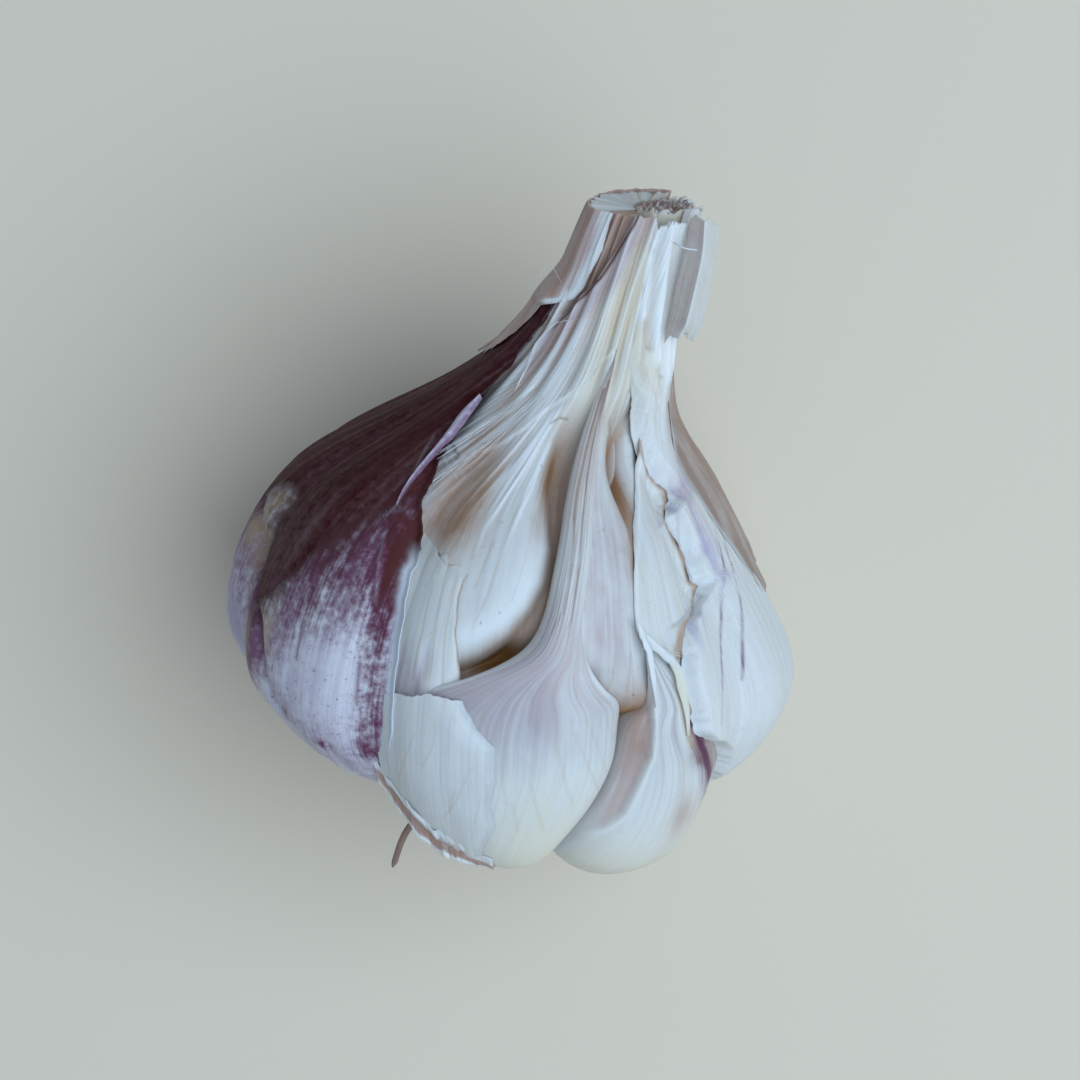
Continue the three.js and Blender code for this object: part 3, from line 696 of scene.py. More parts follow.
def paint_front(angle, along, out, across):
    bell = smooth(along, 0.34, 0.46)
    strand = smooth(along, 0.5, 0.58)
    face = smooth(out, 0.85, 0.97)
    share = across * 21
    rays = wander(share * 0.7, along * 4, 3)
    fine_rays = wander(share * 1.9, along * 5, 8)
    veins = strokes(angle, along, FRONT_VEINS, 0.14)
    lines = strokes(angle, along, STRAND_LINES, 0.16)
    lip = smooth(np.abs(across), 0.88, 1.0) * smooth(along, 0.3, 0.4)
    marks = {
        "fibre": share,
        "cream": (0.85 * (1 - smooth(along, 0.2, 0.4)) * smooth(angle, 104, 84)
                  + 0.15 * smooth(rays, 0.2, 0.8)) * face,
        # the bell's grey lilac is partly the skin's own lilac grey streaks and partly painted shade on its
        # shaded upper bell and neck
        "lilac": (bell * (1 - 0.85 * smooth(along, 0.52, 0.605)) * (1 - 0.5 * smooth(angle, 84, 76))
                  * (0.88 + 0.25 * rays + 0.2 * fine_rays)) * face,
        "pink": (0.7 * smooth(along, 0.6, 0.7) + 0.35 * band(along - 0.5, 0.06)) * (0.6 + 0.4 * rays) * face,
        "vein": (0.2 * veins + 0.16 * smooth(fine_rays, 0.45, 0.8) * bell) * face,
        "pale": (0.5 * lip + 0.35 * smooth(-rays, 0.1, 0.6) * strand) * face,
        # the brown on the clove's sides away from its face, and the warm tint below it, are painted shade;
        # the strand lines and lip brown are the skin's own
        "brown": (0.55 * lines * strand + 0.25 * lip * (1 - bell)) * face + 0.3 * (1 - face),
        "painted_shade": 0.9 * (1 - smooth(out, 0.7, 0.93)) * smooth(along, 0.2, 0.35) * (1 - 0.8 * strand),
    }
    relief = (0.045 * rays + 0.025 * fine_rays) * (0.3 + 0.7 * bell) + strand * (0.1 * rays - 0.12 * lines)
    return marks, (relief + 0.06 * lip) * face


clove("clove_front", FRONT_STOPS, True, 420, 300, paint_front)

# The torn front edge of the white wrapper on the right
RIGHT_TEAR = [
    (0.03, 22), (0.195, 24.5), (0.225, 29.5), (0.255, 31.5), (0.31, 35), (0.34, 41), (0.357, 45.5),
    (0.388, 48.5),
    (0.443, 49.5), (0.47, 49), (0.495, 48.5), (0.515, 45), (0.524, 36), (0.537, 31), (0.545, 34),
    (0.565, 32), (0.59, 35), (0.615, 38),
    (0.632, 30), (0.645, 28), (0.66, 32), (0.677, 37), (0.725, 46), (0.763, 50), (0.79, 56), (0.812, 65),
    (0.848, 69.5),
    (0.885, 69), (0.927, 73), (0.96, 76.5), (0.992, 79),
]

# Front right clove: a sharp ridge parts its shaded left face from the rest
FRONT_RIGHT_STOPS = [
    (0.045, 52, 60, 0.6, 0.72), (0.06, 46, 68, 0.5, 0.86), (0.1, 36, 75, 0.42, 0.97),
    (0.17, 29, 76.5, 0.42, 1),
    (0.24, 26, 73, 0.46, 1), (0.31, 27, 67, 0.52, 1), (0.36, 33, 64, 0.6, 1), (0.395, 40, 62.8, 0.7, 1),
    (0.415, 43, 61.3, 0.78, 1), (0.43, 45, 58.8, 0.9, 1), (0.45, 47.5, 58.2, 0.94, 1),
    (0.472, 51, 58, 0.95, 0.99),
    (0.495, 54.5, 57.5, 0.94, 0.97),
]
RIDGE = [
    (58, 0.5), (57.5, 0.453), (57.5, 0.422), (58, 0.375), (59.5, 0.348), (62.5, 0.3), (66.5, 0.273),
    (74, 0.238),
]


def paint_front_right(angle, along, out, across):
    face = smooth(out, 0.85, 0.97)
    past_ridge = left_of(angle, along, RIDGE)
    # The left face lies in shade: the lilac, pink and brown laid on it are painted shade
    left_face = smooth(past_ridge, -0.1, 0.35)
    ridge = band(past_ridge, 0.3) * smooth(along, 0.2, 0.28)
    rays = wander(across * 11, along * 4, 12)
    fine_rays = wander(across * 26, along * 6, 15)
    yellow = stroke(angle, along, [(50.5, 0.44), (49, 0.41), (48, 0.385)], 0.8)
    border = past_edge(read_off(along, RIGHT_TEAR), angle, along)
    streak_line = [(48.5, 0.412), (47.3, 0.397), (45.6, 0.376), (43, 0.348), (40, 0.318)]
    streak = stroke(angle, along, streak_line, 0.55)
    marks = {
        "fibre": across * 21,
        "cream": limited(0.7 * (1 - smooth(along, 0.2, 0.32)) + yellow) * face,
        "lilac": limited((0.3 + 0.3 * rays + 0.2 * fine_rays) * smooth(along, 0.3, 0.44) * (1 - left_face)
                         + 0.75 * left_face) * face,
        "pink": (0.7 * left_face + 0.45 * spot(angle, along, (47, 0.28), (6, 0.035))) * face,
        # painted shade on the left face and in the hollow beside the right wrapper's torn edge
        "brown": (left_face * (0.15 + 0.45 * smooth(along, 0.3, 0.4))
                  + 0.3 * spot(angle, along, (49, 0.29), (3, 0.03))
                  + 0.7 * smooth(border, 1.2, 0.2)) * face,
        "magenta": limited(1.4 * streak) * face,
        "purple": 0.5 * stroke(angle, along, [(46.5, 0.37), (42.5, 0.335), (38.5, 0.29)], 1.3) * face,
        "pale": 0.5 * ridge * face,
        "vein": 0.16 * smooth(fine_rays, 0.4, 0.8) * face,
        "painted_shade": 0.9 * (1 - smooth(out, 0.7, 0.93)) * smooth(along, 0.2, 0.35),
    }
    relief = 0.045 * rays + 0.03 * fine_rays + 0.12 * ridge - 0.75 * left_face * smooth(along, 0.22, 0.3)
    return marks, relief * face


clove("clove_front_right", FRONT_RIGHT_STOPS, True, 320, 230, paint_front_right)

# Purple outer wrapper
WRAPPER_FOOT = 0.035
PURPLE_TOP = 0.885
PURPLE_BACK = 304  # the angle of its hidden edge
PURPLE_TEAR = [
    (0.03, 118), (0.305, 115.5), (0.388, 113), (0.445, 113), (0.487, 113.5), (0.525, 114.5), (0.56, 116),
    (0.59, 117.5),
    (0.618, 120), (0.645, 124.5), (0.685, 131), (0.74, 142), (0.785, 149), (0.835, 152), (0.88, 154),
]
CREASE = [(143, 0.33), (145, 0.37), (148, 0.42), (151.5, 0.458), (160.5, 0.482), (168.5, 0.515), (181, 0.54)]
# Where the nearly solid dark part towards the neck begins, as rows of (angle, along)
DARK_FROM = [
    (113, 0.63), (120, 0.63), (127.5, 0.62), (132, 0.602), (136.5, 0.578), (141.5, 0.545), (145.5, 0.508),
    (152.5, 0.465),
    (160, 0.475), (166, 0.53), (172, 0.56), (182, 0.54), (200, 0.5), (250, 0.48), (304, 0.55),
]
SPECKLE_LINES = [
    [(131.5, 0.61), (130, 0.56), (131, 0.52)], [(125, 0.585), (126, 0.54), (128, 0.51)],
    [(138, 0.56), (137, 0.51), (136, 0.45)], [(122, 0.47), (121.5, 0.42)],
]
# Fold ridges in the dark part: the pale laid along them is a painted highlight
HIGHLIT_FOLDS = [
    [(141, 0.69), (131.5, 0.65), (129, 0.625), (131, 0.603)], [(127, 0.6), (124, 0.56), (122, 0.53)],
]


def purple_place(s, t):
    along = mix(WRAPPER_FOOT, PURPLE_TOP, t)
    tear = torn(read_off(along, PURPLE_TEAR), along, 21, 0.35 + 0.9 * smooth(along, 0.5, 0.62))
    angle = mix(tear, PURPLE_BACK, s**1.45)
    from_tear = past_edge(tear, angle, along)
    past_crease = left_of(angle, along, CREASE)
    beyond = smooth(past_crease, -0.3, 0.3) * smooth(angle, 143, 148)
    crease = band(past_crease, 0.75) * (1 - smooth(angle, 178, 186))
    folds = strokes(angle, along, HIGHLIT_FOLDS, 0.16)
    rolled = band(from_tear, 0.5) * smooth(along, 0.29, 0.33)
    lift = (
        WRAP_LIFT - 0.85 * crease + 0.1 * folds + 0.25 * rolled
        - 0.3 * smooth(from_tear, 2.5, 0.4) * smooth(along, 0.3, 0.4) * (1 - rolled)
        + ripple(angle, along, (0.14, 6, 6, 31), (0.07, 1.6, 9, 33))
        + 0.35 * smooth(angle, 296, 303)
    )
    thick = SKIN * (0.25 + 0.75 * smooth(from_tear, 0.0, 2.0))
    edge_rag = fray(angle, (0.02, 2.2, 40), (0.012, 0.8, 41))
    along = along + edge_rag * smooth(t, 0.9, 1.0)

    cloud = wander(angle / 5, along * 11, 50)
    fibres = smooth(wander(angle / 1.3, along * 5, 62), 0.05, 0.6)
    dark_from = read_off(angle, DARK_FROM) + 0.012 * cloud
    dark = 1.25 * smooth(along, dark_from - 0.045, dark_from + 0.045)
    near = smooth(along, dark_from - 0.17, dark_from - 0.02)
    by_tear = near * (1 - smooth(angle, 134, 148)) * smooth(along, 0.45, 0.51)
    edge_streaks = band(from_tear - 2.3, 1.3) * smooth(along, 0.3, 0.34) * (1 - smooth(along, 0.6, 0.66))
    purple = (
        0.65 * edge_streaks + 0.85 * near * (1 - beyond) + 0.04 + 0.2 * cloud
        + patches(angle, along, (-0.6, 134.5, 0.42, 5, 0.05), (0.7, 152, 0.43, 4, 0.05),
                  (0.5, 140, 0.36, 3, 0.03))
        + 0.6 * smooth(angle, 188, 205) * smooth(along, 0.1, 0.3)
    )
    magenta = (
        patches(angle, along, (0.9, 115.3, 0.4, 1.3, 0.035), (0.8, 117, 0.325, 1.6, 0.02),
                (0.7, 129.5, 0.318, 2, 0.014)) + 0.35 * edge_streaks
        + 0.55 * spot(angle, along, (122.5, 0.575), (3, 0.04))
        + 0.15 * by_tear
    )
    blue = stroke(angle, along, [(163, 0.34), (167, 0.37), (171, 0.41), (175, 0.45), (178, 0.475)], 1.6)
    tan = beyond * limited(1 - dark) * (1 - blue) * (1 - smooth(angle, 184, 196)) * 0.75
    tan = tan + patches(angle, along, (0.95, 170, 0.56, 5, 0.016), (0.9, 175, 0.517, 6, 0.02),
                        (0.8, 166, 0.505, 3, 0.02), (0.8, 156, 0.4, 1.6, 0.05))
    marks = {
        "lilac": limited(0.22 + 0.9 * blue + 0.25 * cloud),
        "purple": limited(purple * (1 - 0.6 * blue)), "magenta": limited(magenta),
        "tan": limited(tan), "dark": dark * (1 - 0.9 * limited(tan)),
        "brown": limited(spot(angle, along, (119.5, 0.6), (3.6, 0.055)) + 0.25 * edge_streaks + 0.2 * dark
                         + 0.45 * by_tear),
        # painted reflection on the dark part, mixed with its real grey brown mottle and streaks
        "sheen": dark * (0.1 + 0.5 * spot(angle, along, (157, 0.53), (13, 0.06)) + 0.4 * fibres)
                 * (0.7 + 0.5 * wander(angle / 4, along * 14, 60)),
        "vein": 0.7 * strokes(angle, along, SPECKLE_LINES, 0.16),
        # the white rolled strip along the tear, and a painted highlight on the fold ridges
        "pale": limited(np.exp(-((from_tear / 1.05) ** 4)) * smooth(along, 0.29, 0.32)
                        * (1 - smooth(along, 0.57, 0.6))
                        + 0.1 * folds),
    }
    return angle, along, lift, thick, marks


skin_sheet("purple_wrapper", purple_place, 290, 240, purple_skin, ("purple_wrapper",))

# White wrapper on the right, with the stiff leaf bases that it becomes on the neck
RIGHT_TOP = 0.992
RIGHT_BACK = -57.5  # the angle of its hidden edge
RIGHT_VEINS = [
    [(19.5, 0.585), (21.5, 0.565), (23.5, 0.552), (29, 0.517), (36, 0.463), (40.5, 0.422), (42, 0.39)],
    [(16, 0.57), (21, 0.53), (27, 0.48), (31, 0.43)],
]
STRAPS = [
    [(74.5, 0.995), (71.5, 0.94), (66, 0.9), (62, 0.87)], [(60, 0.995), (57, 0.95), (50, 0.9), (46, 0.86),
     (40, 0.81)],
    [(45, 0.995), (38, 0.94), (33, 0.89), (28, 0.83), (26, 0.77), (24, 0.7)],
    [(28, 0.995), (22, 0.94), (17, 0.89), (14, 0.83), (12, 0.75)],
]
FURROWS = [
    [(67, 0.995), (64.5, 0.95), (57.5, 0.9), (54.5, 0.87), (50, 0.83)],
    [(52, 0.995), (47, 0.95), (41, 0.9), (36, 0.85), (31, 0.79)], [(36, 0.99), (29, 0.93), (22, 0.86),
     (18, 0.8)],
]


def right_place(s, t):
    along = mix(WRAPPER_FOOT, RIGHT_TOP, t)
    neck = smooth(along, 0.7, 0.82)
    tear = torn(read_off(along, RIGHT_TEAR), along, 5, 1 - 0.75 * smooth(along, 0.62, 0.67))
    angle = mix(tear, RIGHT_BACK, s**1.3)
    from_tear = -past_edge(tear, angle, along)
    straps = strokes(angle, along, STRAPS, 0.75)
    furrows = strokes(angle, along, FURROWS, 0.45)
    ribs = wander(angle / (3.2 - 2 * (1 - neck)), along * 4, 163)
    fine_ribs = wander(angle / (1.5 - 0.8 * (1 - neck)), along * 6, 164)
    crumple = smooth(along, 0.47, 0.54) * (1 - smooth(along, 0.63, 0.68)) * smooth(from_tear, 5, 1.5)
    lift = (
        WRAP_LIFT - 0.55 * smooth(along, 0.76, 0.86)
        + ripple(angle, along, (0.1, 4, 6, 71), (0.05, 1.4, 8, 73))
        + crumple * ripple(angle, along, (0.3, 2.3, 9, 75), (0.14, 0.9, 16, 76))
        + neck * (0.45 * straps - 0.5 * furrows + 0.13 * ribs + 0.07 * fine_ribs)
        - 0.75 * smooth(along, 0.64, 0.74) * smooth(from_tear, 1.3, 0.0)
        - 0.6 * (1 - neck) * smooth(from_tear, 1.8, 0.0)
    )
    thick = SKIN * (0.15 + 0.85 * smooth(from_tear, 0.0, 1.8))
    end = fray(angle, (0.012, 5, 160), (0.006, 1.6, 161))
    along = along + end * smooth(t, 0.93, 1) - 0.006 * smooth(t, 0.95, 1)
    veins = strokes(angle, along, RIGHT_VEINS, 0.17)
    translucent = smooth(along, 0.6, 0.68) * (1 - smooth(along, 0.74, 0.8)) * smooth(angle, 28, 8)
    edge = band(from_tear, 0.3)
    marks = {
        "cream": limited(0.6 * neck * (1 - 0.7 * straps) + 0.15 * (1 - smooth(along, 0.1, 0.3))),
        "lilac": limited(0.75 * crumple * smooth(wander(angle / 2.1, along * 12, 79), -0.1, 0.5)),
        "vein": limited(0.7 * furrows * neck + 0.2 * neck * smooth(-ribs, 0.2, 0.7) + 0.4 * neck * edge),
        "pink": 0.35 * spot(angle, along, (24, 0.62), (5, 0.04)) + 0.3 * translucent,
        "pale": limited(0.35 * edge * (1 - neck) + 0.7 * neck * straps + 0.2 * neck),
        # the brown along the crumpled torn edge, and the warm tint along the edge on the neck, are painted
        # shade
        "brown": limited(0.6 * translucent + 0.25 * edge * crumple),
        "purple": 0.7 * limited(veins * (0.6 + 0.6 * wander(along * 40, 0.5, 77))),
        "painted_shade": 0.15 * neck * edge, "coarse": 0.45 + 0.55 * neck,
    }
    return angle, along, lift, thick, marks


skin_sheet("right_wrapper", right_place, 210, 330, white_skin, ("right_wrapper",))

# Front skin: it lies on the inner cloves, dips between them, and rises into the leaf bases of the neck
# Each mound is a clove's outline, the lift of its top, and the millimetres over which its side rounds off
MOUNDS = [
    ([(135, 0.48), (113, 0.462), (103, 0.476), (95, 0.499), (89, 0.519), (84, 0.545), (80.5, 0.577),
      (79, 0.62),
      (80.5, 0.665), (84, 0.71), (90, 0.77), (160, 0.85)], -0.75, 4.6),
    ([(79, 0.5), (72, 0.475), (68, 0.455), (63, 0.427), (54, 0.42), (51.5, 0.45), (51.5, 0.5), (52, 0.55),
      (51.5, 0.59), (50, 0.63),
      (51.5, 0.66), (54, 0.69), (57, 0.74), (78, 0.78)], -1.0, 3.6),
    ([(60, 0.485), (45, 0.455), (20, 0.5), (14, 0.6), (20, 0.72), (40, 0.77), (50, 0.73), (54.5, 0.65),
      (58.5, 0.57)],
     -0.95, 3.0),
]
PALE_RIDGES = [
    [(98, 0.78), (96.5, 0.743), (97.5, 0.703), (100.5, 0.657), (102.5, 0.63), (102.5, 0.6), (103, 0.58)],
    [(91.5, 0.725), (92, 0.675), (94, 0.64), (96, 0.6)],
]
TAN_VEINS = [
    [(91, 0.7), (92.5, 0.675), (94.5, 0.645), (95.5, 0.61), (96.5, 0.565), (99, 0.525)],
    [(87, 0.67), (88.5, 0.638), (89, 0.598), (90.5, 0.56)], [(108, 0.64), (109.5, 0.6), (110, 0.56)],
    [(65, 0.5), (66.5, 0.455)], [(61, 0.5), (62.5, 0.46)], [(98.5, 0.62), (100, 0.57)],
]
# Painted highlight along the lit right side and lower rim of the inner left clove
HIGHLIGHT_RIM = [(83.5, 0.66), (82, 0.62), (83.5, 0.58), (88, 0.55), (92.5, 0.535), (100, 0.522)]
BROWN_FOLD = [(57, 0.725), (55, 0.69), (52, 0.655), (52.5, 0.62), (55, 0.58)]
CRACKS = [[(113, 0.597), (108, 0.588), (103, 0.583)], [(89, 0.752), (94, 0.752), (97, 0.745)]]
SPECKS = [(91.5, 0.702), (66, 0.63), (61, 0.455), (93, 0.548), (97, 0.537)]
LEAF_STEP = [
    (76, 0.83), (83, 0.815), (86, 0.802), (89, 0.792), (91.5, 0.78), (98, 0.77), (104, 0.755),
    (107.5, 0.735),
    (113, 0.715), (119, 0.7), (126, 0.69), (135, 0.7),
]
TROUGH_LEFT = [(0.858, 139), (0.888, 136), (0.9, 134), (0.932, 136), (0.97, 139), (1, 144)]
CREASE_LINE = [
    (0.8, 146), (0.84, 141), (0.858, 136.5), (0.88, 128.5), (0.915, 114), (0.945, 108), (0.985, 99.5),
    (1, 98),
]


def front_skin(angle, along):
    """Lift of the front skin's outer face, and its marks."""
    floor = -3.3 + patches(angle, along, (-3.4, 96, 0.503, 10, 0.017), (-1.5, 60, 0.415, 4, 0.02),
                           (2.8, 48, 0.475, 6.5, 0.05))
    lifts = []
    for outline, top, roundness in MOUNDS:
        steep = 1 - within(angle, along, outline) / roundness
        round_off = roundness * (np.sqrt(1 - limited(steep) ** 2) - 1)
        lifts.append(top + round_off - 2.6 * roundness * np.clip(steep - 1, 0, 0.35))
    sharp = 2.4
    hollow_lift = floor + np.log(sum(np.exp(sharp * (lift - floor)) for lift in lifts) + 1) / sharp
    to_neck = smooth(along, 0.69, 0.79)
    # How far down the skin lies in the hollows between the cloves, where painted shade goes
    low = smooth(-hollow_lift, 1.3, 3.3) * (1 - to_neck)
    well = smooth(-hollow_lift, 3.6, 5.5) * (1 - to_neck)
    neck = smooth(along, 0.76, 0.86)

    ridges = np.clip(strokes(angle, along, PALE_RIDGES, 0.2), 0, 1.2) * smooth(along, 0.59, 0.66)
    veins = strokes(angle, along, TAN_VEINS, 0.13)
    cracks = strokes(angle, along, CRACKS, 0.1)
    specks = sum(stroke(angle, along, [at, at], 0.12) for at in SPECKS)
    over = smooth(left_of(angle, along, LEAF_STEP), -0.05, 0.12) * smooth(angle, 75, 79)

    # Fibres fan out from the neck's foot, and the skin crinkles along them
    fan = (angle - 90) / (1 + 7 * np.clip(0.78 - along, 0, 0.2))
    foot = smooth(angle, 84, 94) * smooth(along + 0.03 * wander(fan / 2, 0.5, 84), 0.62, 0.7)
    foot = foot * (1 - smooth(along, 0.78, 0.82))
    crinkle = band(wander(fan / 1.5, along * 5, 85), 0.26) * foot
    fine_crinkle = wander(fan / 0.6, along * 7, 86) * foot

    twist = angle - 25 * (along - 0.85)
    ribs = 0.2 * np.sin(twist * 0.42 + 2.2 * wander(twist / 16, along * 5, 130))
    ribs = ribs + ripple(twist, along, (0.13, 4.2, 5, 131), (0.09, 1.9, 6, 132))
    ribs = ribs * smooth(along, 0.7, 0.8)
    soft = ripple(angle, along, (0.03, 1.4, 5, 81), (0.07, 4, 4, 82))
    soft = soft + 0.16 * crinkle + 0.05 * fine_crinkle

    crease_at = read_off(along, CREASE_LINE)
    trough_at = read_off(along, TROUGH_LEFT)
    in_trough = smooth(angle, crease_at + 1, crease_at + 5) * (1 - smooth(angle, trough_at, trough_at + 5))
    in_trough = in_trough * smooth(along, 0.845, 0.87)
    crease = band(angle - crease_at, 2.0) * smooth(along, 0.83, 0.86)

    lift = mix(hollow_lift + soft + 0.12 * ridges, -0.35 + ribs, to_neck) - 0.08 * cracks
    lift = lift + 0.32 * over + 0.3 * neck - 1.1 * in_trough - 0.35 * crease

    veil = spot(angle, along, (114, 0.65), (10, 0.045)) + 0.65 * spot(angle, along, (122, 0.7), (9, 0.04))
    veil = limited(veil * (1.35 + 0.3 * wander(fan / 0.8, along * 5, 88)))
    # Painted shade in the gaps under the inner cloves, in a fold and beside the right wrapper's torn edge
    painted_dip_shade = patches(angle, along, (0.75, 86.5, 0.685, 3.4, 0.06), (0.9, 59, 0.445, 6, 0.025))
    painted_dip_shade = painted_dip_shade + stroke(angle, along, BROWN_FOLD, 1.5)
    beside_tear = band(angle - read_off(along, RIGHT_TEAR) - 1.5, 3) * smooth(along, 0.49, 0.52)
    painted_dip_shade = painted_dip_shade + 0.7 * beside_tear * (1 - smooth(along, 0.66, 0.7))
    shade = spot(angle, along, (67, 0.57), (9, 0.14))
    painted_highlight = stroke(angle, along, HIGHLIGHT_RIM, 1.2)
    lilac_side = smooth(angle, crease_at - 34, crease_at - 8) * neck
    lilac_side = lilac_side * (1 - smooth(angle, crease_at, crease_at + 2))
    torn = smooth(angle, 104, 112) * smooth(along, 0.7, 0.75) * (1 - smooth(along, 0.84, 0.88))
    streaky = smooth(-ribs, -0.05, 0.2)
    marks = {
        "coarse": 0.15 + 0.85 * smooth(along, 0.66, 0.8),
        "cream": limited(0.55 * to_neck * (1 - smooth(angle, 90, 108)) + 0.2 * shade
                         + 0.15 * wander(twist / 5, along * 5, 135)),
        "lilac": limited(0.7 * lilac_side + 0.4 * torn * streaky + 0.5 * shade),
        "pink": limited(0.75 * in_trough + 0.35 * torn * streaky + 0.6 * veil * (1 - ridges)),
        # the veil and torn skin are really brown; the brown in the hollows and dips is painted shade
        "brown": limited(0.85 * veil * (1 - ridges) * (1 - 0.6 * crinkle)
                         + 0.8 * painted_dip_shade * (1 - to_neck) * (1 - 0.7 * ridges)
                         + 0.55 * low + 0.55 * in_trough + 0.3 * torn * streaky * smooth(angle, 112, 122)
                         + 0.06 * shade),
        "vein": limited(0.32 * veins * (1 - to_neck) + 0.3 * streaky * neck * (1 - in_trough)
                        + 0.3 * smooth(-fine_crinkle, 0.1, 0.6)),
        # the ridges, crinkles and neck ribs are really pale; the lit rim of the inner left clove and a spot
        # on its lit side are a painted highlight
        "pale": limited(0.7 * ridges * (1 - 0.5 * low) + 0.75 * crinkle + 0.7 * painted_highlight
                        + 0.45 * smooth(ribs, 0.08, 0.26) * to_neck * (1 - in_trough)
                        + 0.35 * spot(angle, along, (89, 0.6), (4, 0.04))),
        "purple": limited(0.9 * crease + 0.6 * cracks + 0.6 * specks),
        "painted_shade": limited(0.45 * low + 0.55 * well + 0.8 * spot(angle, along, (59, 0.425), (6, 0.017))),
    }
    return lift, marks


SKIN_RIGHT = [
    (0.395, 46), (0.45, 45), (0.5, 40), (0.56, 26), (0.62, 20), (0.68, 24), (0.74, 34), (0.78, 42),
    (0.812, 58),
    (0.848, 66), (0.885, 66), (0.927, 70), (0.96, 73.5), (1, 77),
]
NECK_JOIN = 0.8
NECK_TOP = 0.996
NECK_BACK = 300  # the angle of its hidden edge
THIN_SKIN = 0.15


def inner_place(s, t):
    low = mix(0.395, 0.44, smooth(s, 0.2, 0.45))
    along = mix(low, NECK_JOIN + 0.006, t)
    angle = mix(read_off(along, SKIN_RIGHT), read_off(along, PURPLE_TEAR) + 7, s)
    lift, marks = front_skin(angle, along)
    return angle, along, lift - THIN_SKIN - 0.03 * smooth(t, 0.95, 1), THIN_SKIN, marks


skin_sheet("inner_clove_skin", inner_place, 300, 250, leaf_base)


def neck_place(s, t):
    along = mix(NECK_JOIN, NECK_TOP, t)
    angle = mix(read_off(along, SKIN_RIGHT), NECK_BACK, s**1.35)
    lift, marks = front_skin(angle, along)
    fill = 1.7 - 2.2 * np.minimum(np.cos(np.radians(angle)), 0)
    fill = fill * smooth(along, 0.95, 0.985) * smooth(angle, 88, 100)
    lower = smooth(angle, 156, 170) * (1 - smooth(along, 0.86, 0.9))
    thick = THIN_SKIN + 0.4 * smooth(along, 0.82, 0.88) + fill
    lift = lift - 0.5 * lower
    along = along + 0.004 * wander(angle / 6, 0.5, 134) * smooth(t, 0.95, 1)
    return angle, along, lift - thick, thick, marks


skin_sheet("neck_sheath", neck_place, 330, 150, leaf_base, ("neck_sheath",))

# Outer leaf base on the neck's left side: its torn lower end laps over the purple wrapper
OUTER_LEAF = [
    (0.775, 188), (0.79, 179), (0.83, 172), (0.865, 164), (0.876, 148), (0.885, 134), (0.9, 127.5),
    (0.94, 124),
    (0.973, 125), (1, 127),
]


def outer_leaf_place(s, t):
    along = mix(OUTER_LEAF[0][0], NECK_TOP + 0.001, t)
    right = torn(read_off(along, OUTER_LEAF), along, 140, 0.25)
    angle = mix(right, NECK_BACK, s**1.2)
    from_edge = past_edge(right, angle, along)
    torn_foot = fray(angle, (0.022, 9, 146), (0.01, 2.5, 147))
    along = along + torn_foot * (1 - smooth(t, 0, 0.3))
    twist = angle - 25 * (along - 0.85)
    relief = ripple(twist, along, (0.13, 6, 5, 142), (0.08, 2.4, 6, 143))
    over = 1.1 * (1 - smooth(along, 0.87, 0.93)) * smooth(angle, 140, 160)
    lift = 0.1 + over + relief + 0.35 * smooth(from_edge, 0.5, 2.5)
    white = band(from_edge - 0.5, 0.65) * smooth(along, 0.865, 0.88)
    marks = {
        "lilac": limited(0.75 + 0.35 * wander(twist / 5, along * 4, 144) - white),
        "brown": limited(0.3 + 0.3 * wander(twist / 8, along * 6, 145) - white),
        "pink": limited(0.6 - white), "vein": 0.3 * smooth(-relief, 0.05, 0.15), "pale": limited(white),
    }
    return angle, along, lift, 0.06 + 0.2 * smooth(from_edge, 0, 0.8), marks


skin_sheet("neck_outer_leaf", outer_leaf_place, 150, 150, leaf_base)

# Bands of thin ribbed skin that are left on the inner cloves
LEFT_BAND_ALONG = (0.435, 0.6)
LEFT_BAND = [
    (0.44, 99), (0.465, 99.5), (0.5, 101), (0.527, 102), (0.557, 103), (0.585, 103.3), (0.66, 101),
    (0.72, 98),
]
LOWEST_UNDER = 0.505  # below this the band hangs on straight over the hollow and no longer follows the skin
BAND_VEINS = [
    [(108.5, 0.6), (107.5, 0.55), (106.5, 0.5), (106.5, 0.46)], [(105, 0.58), (104.5, 0.52), (103.5, 0.47)],
    [(111, 0.57), (110, 0.52), (110.5, 0.47)],
]


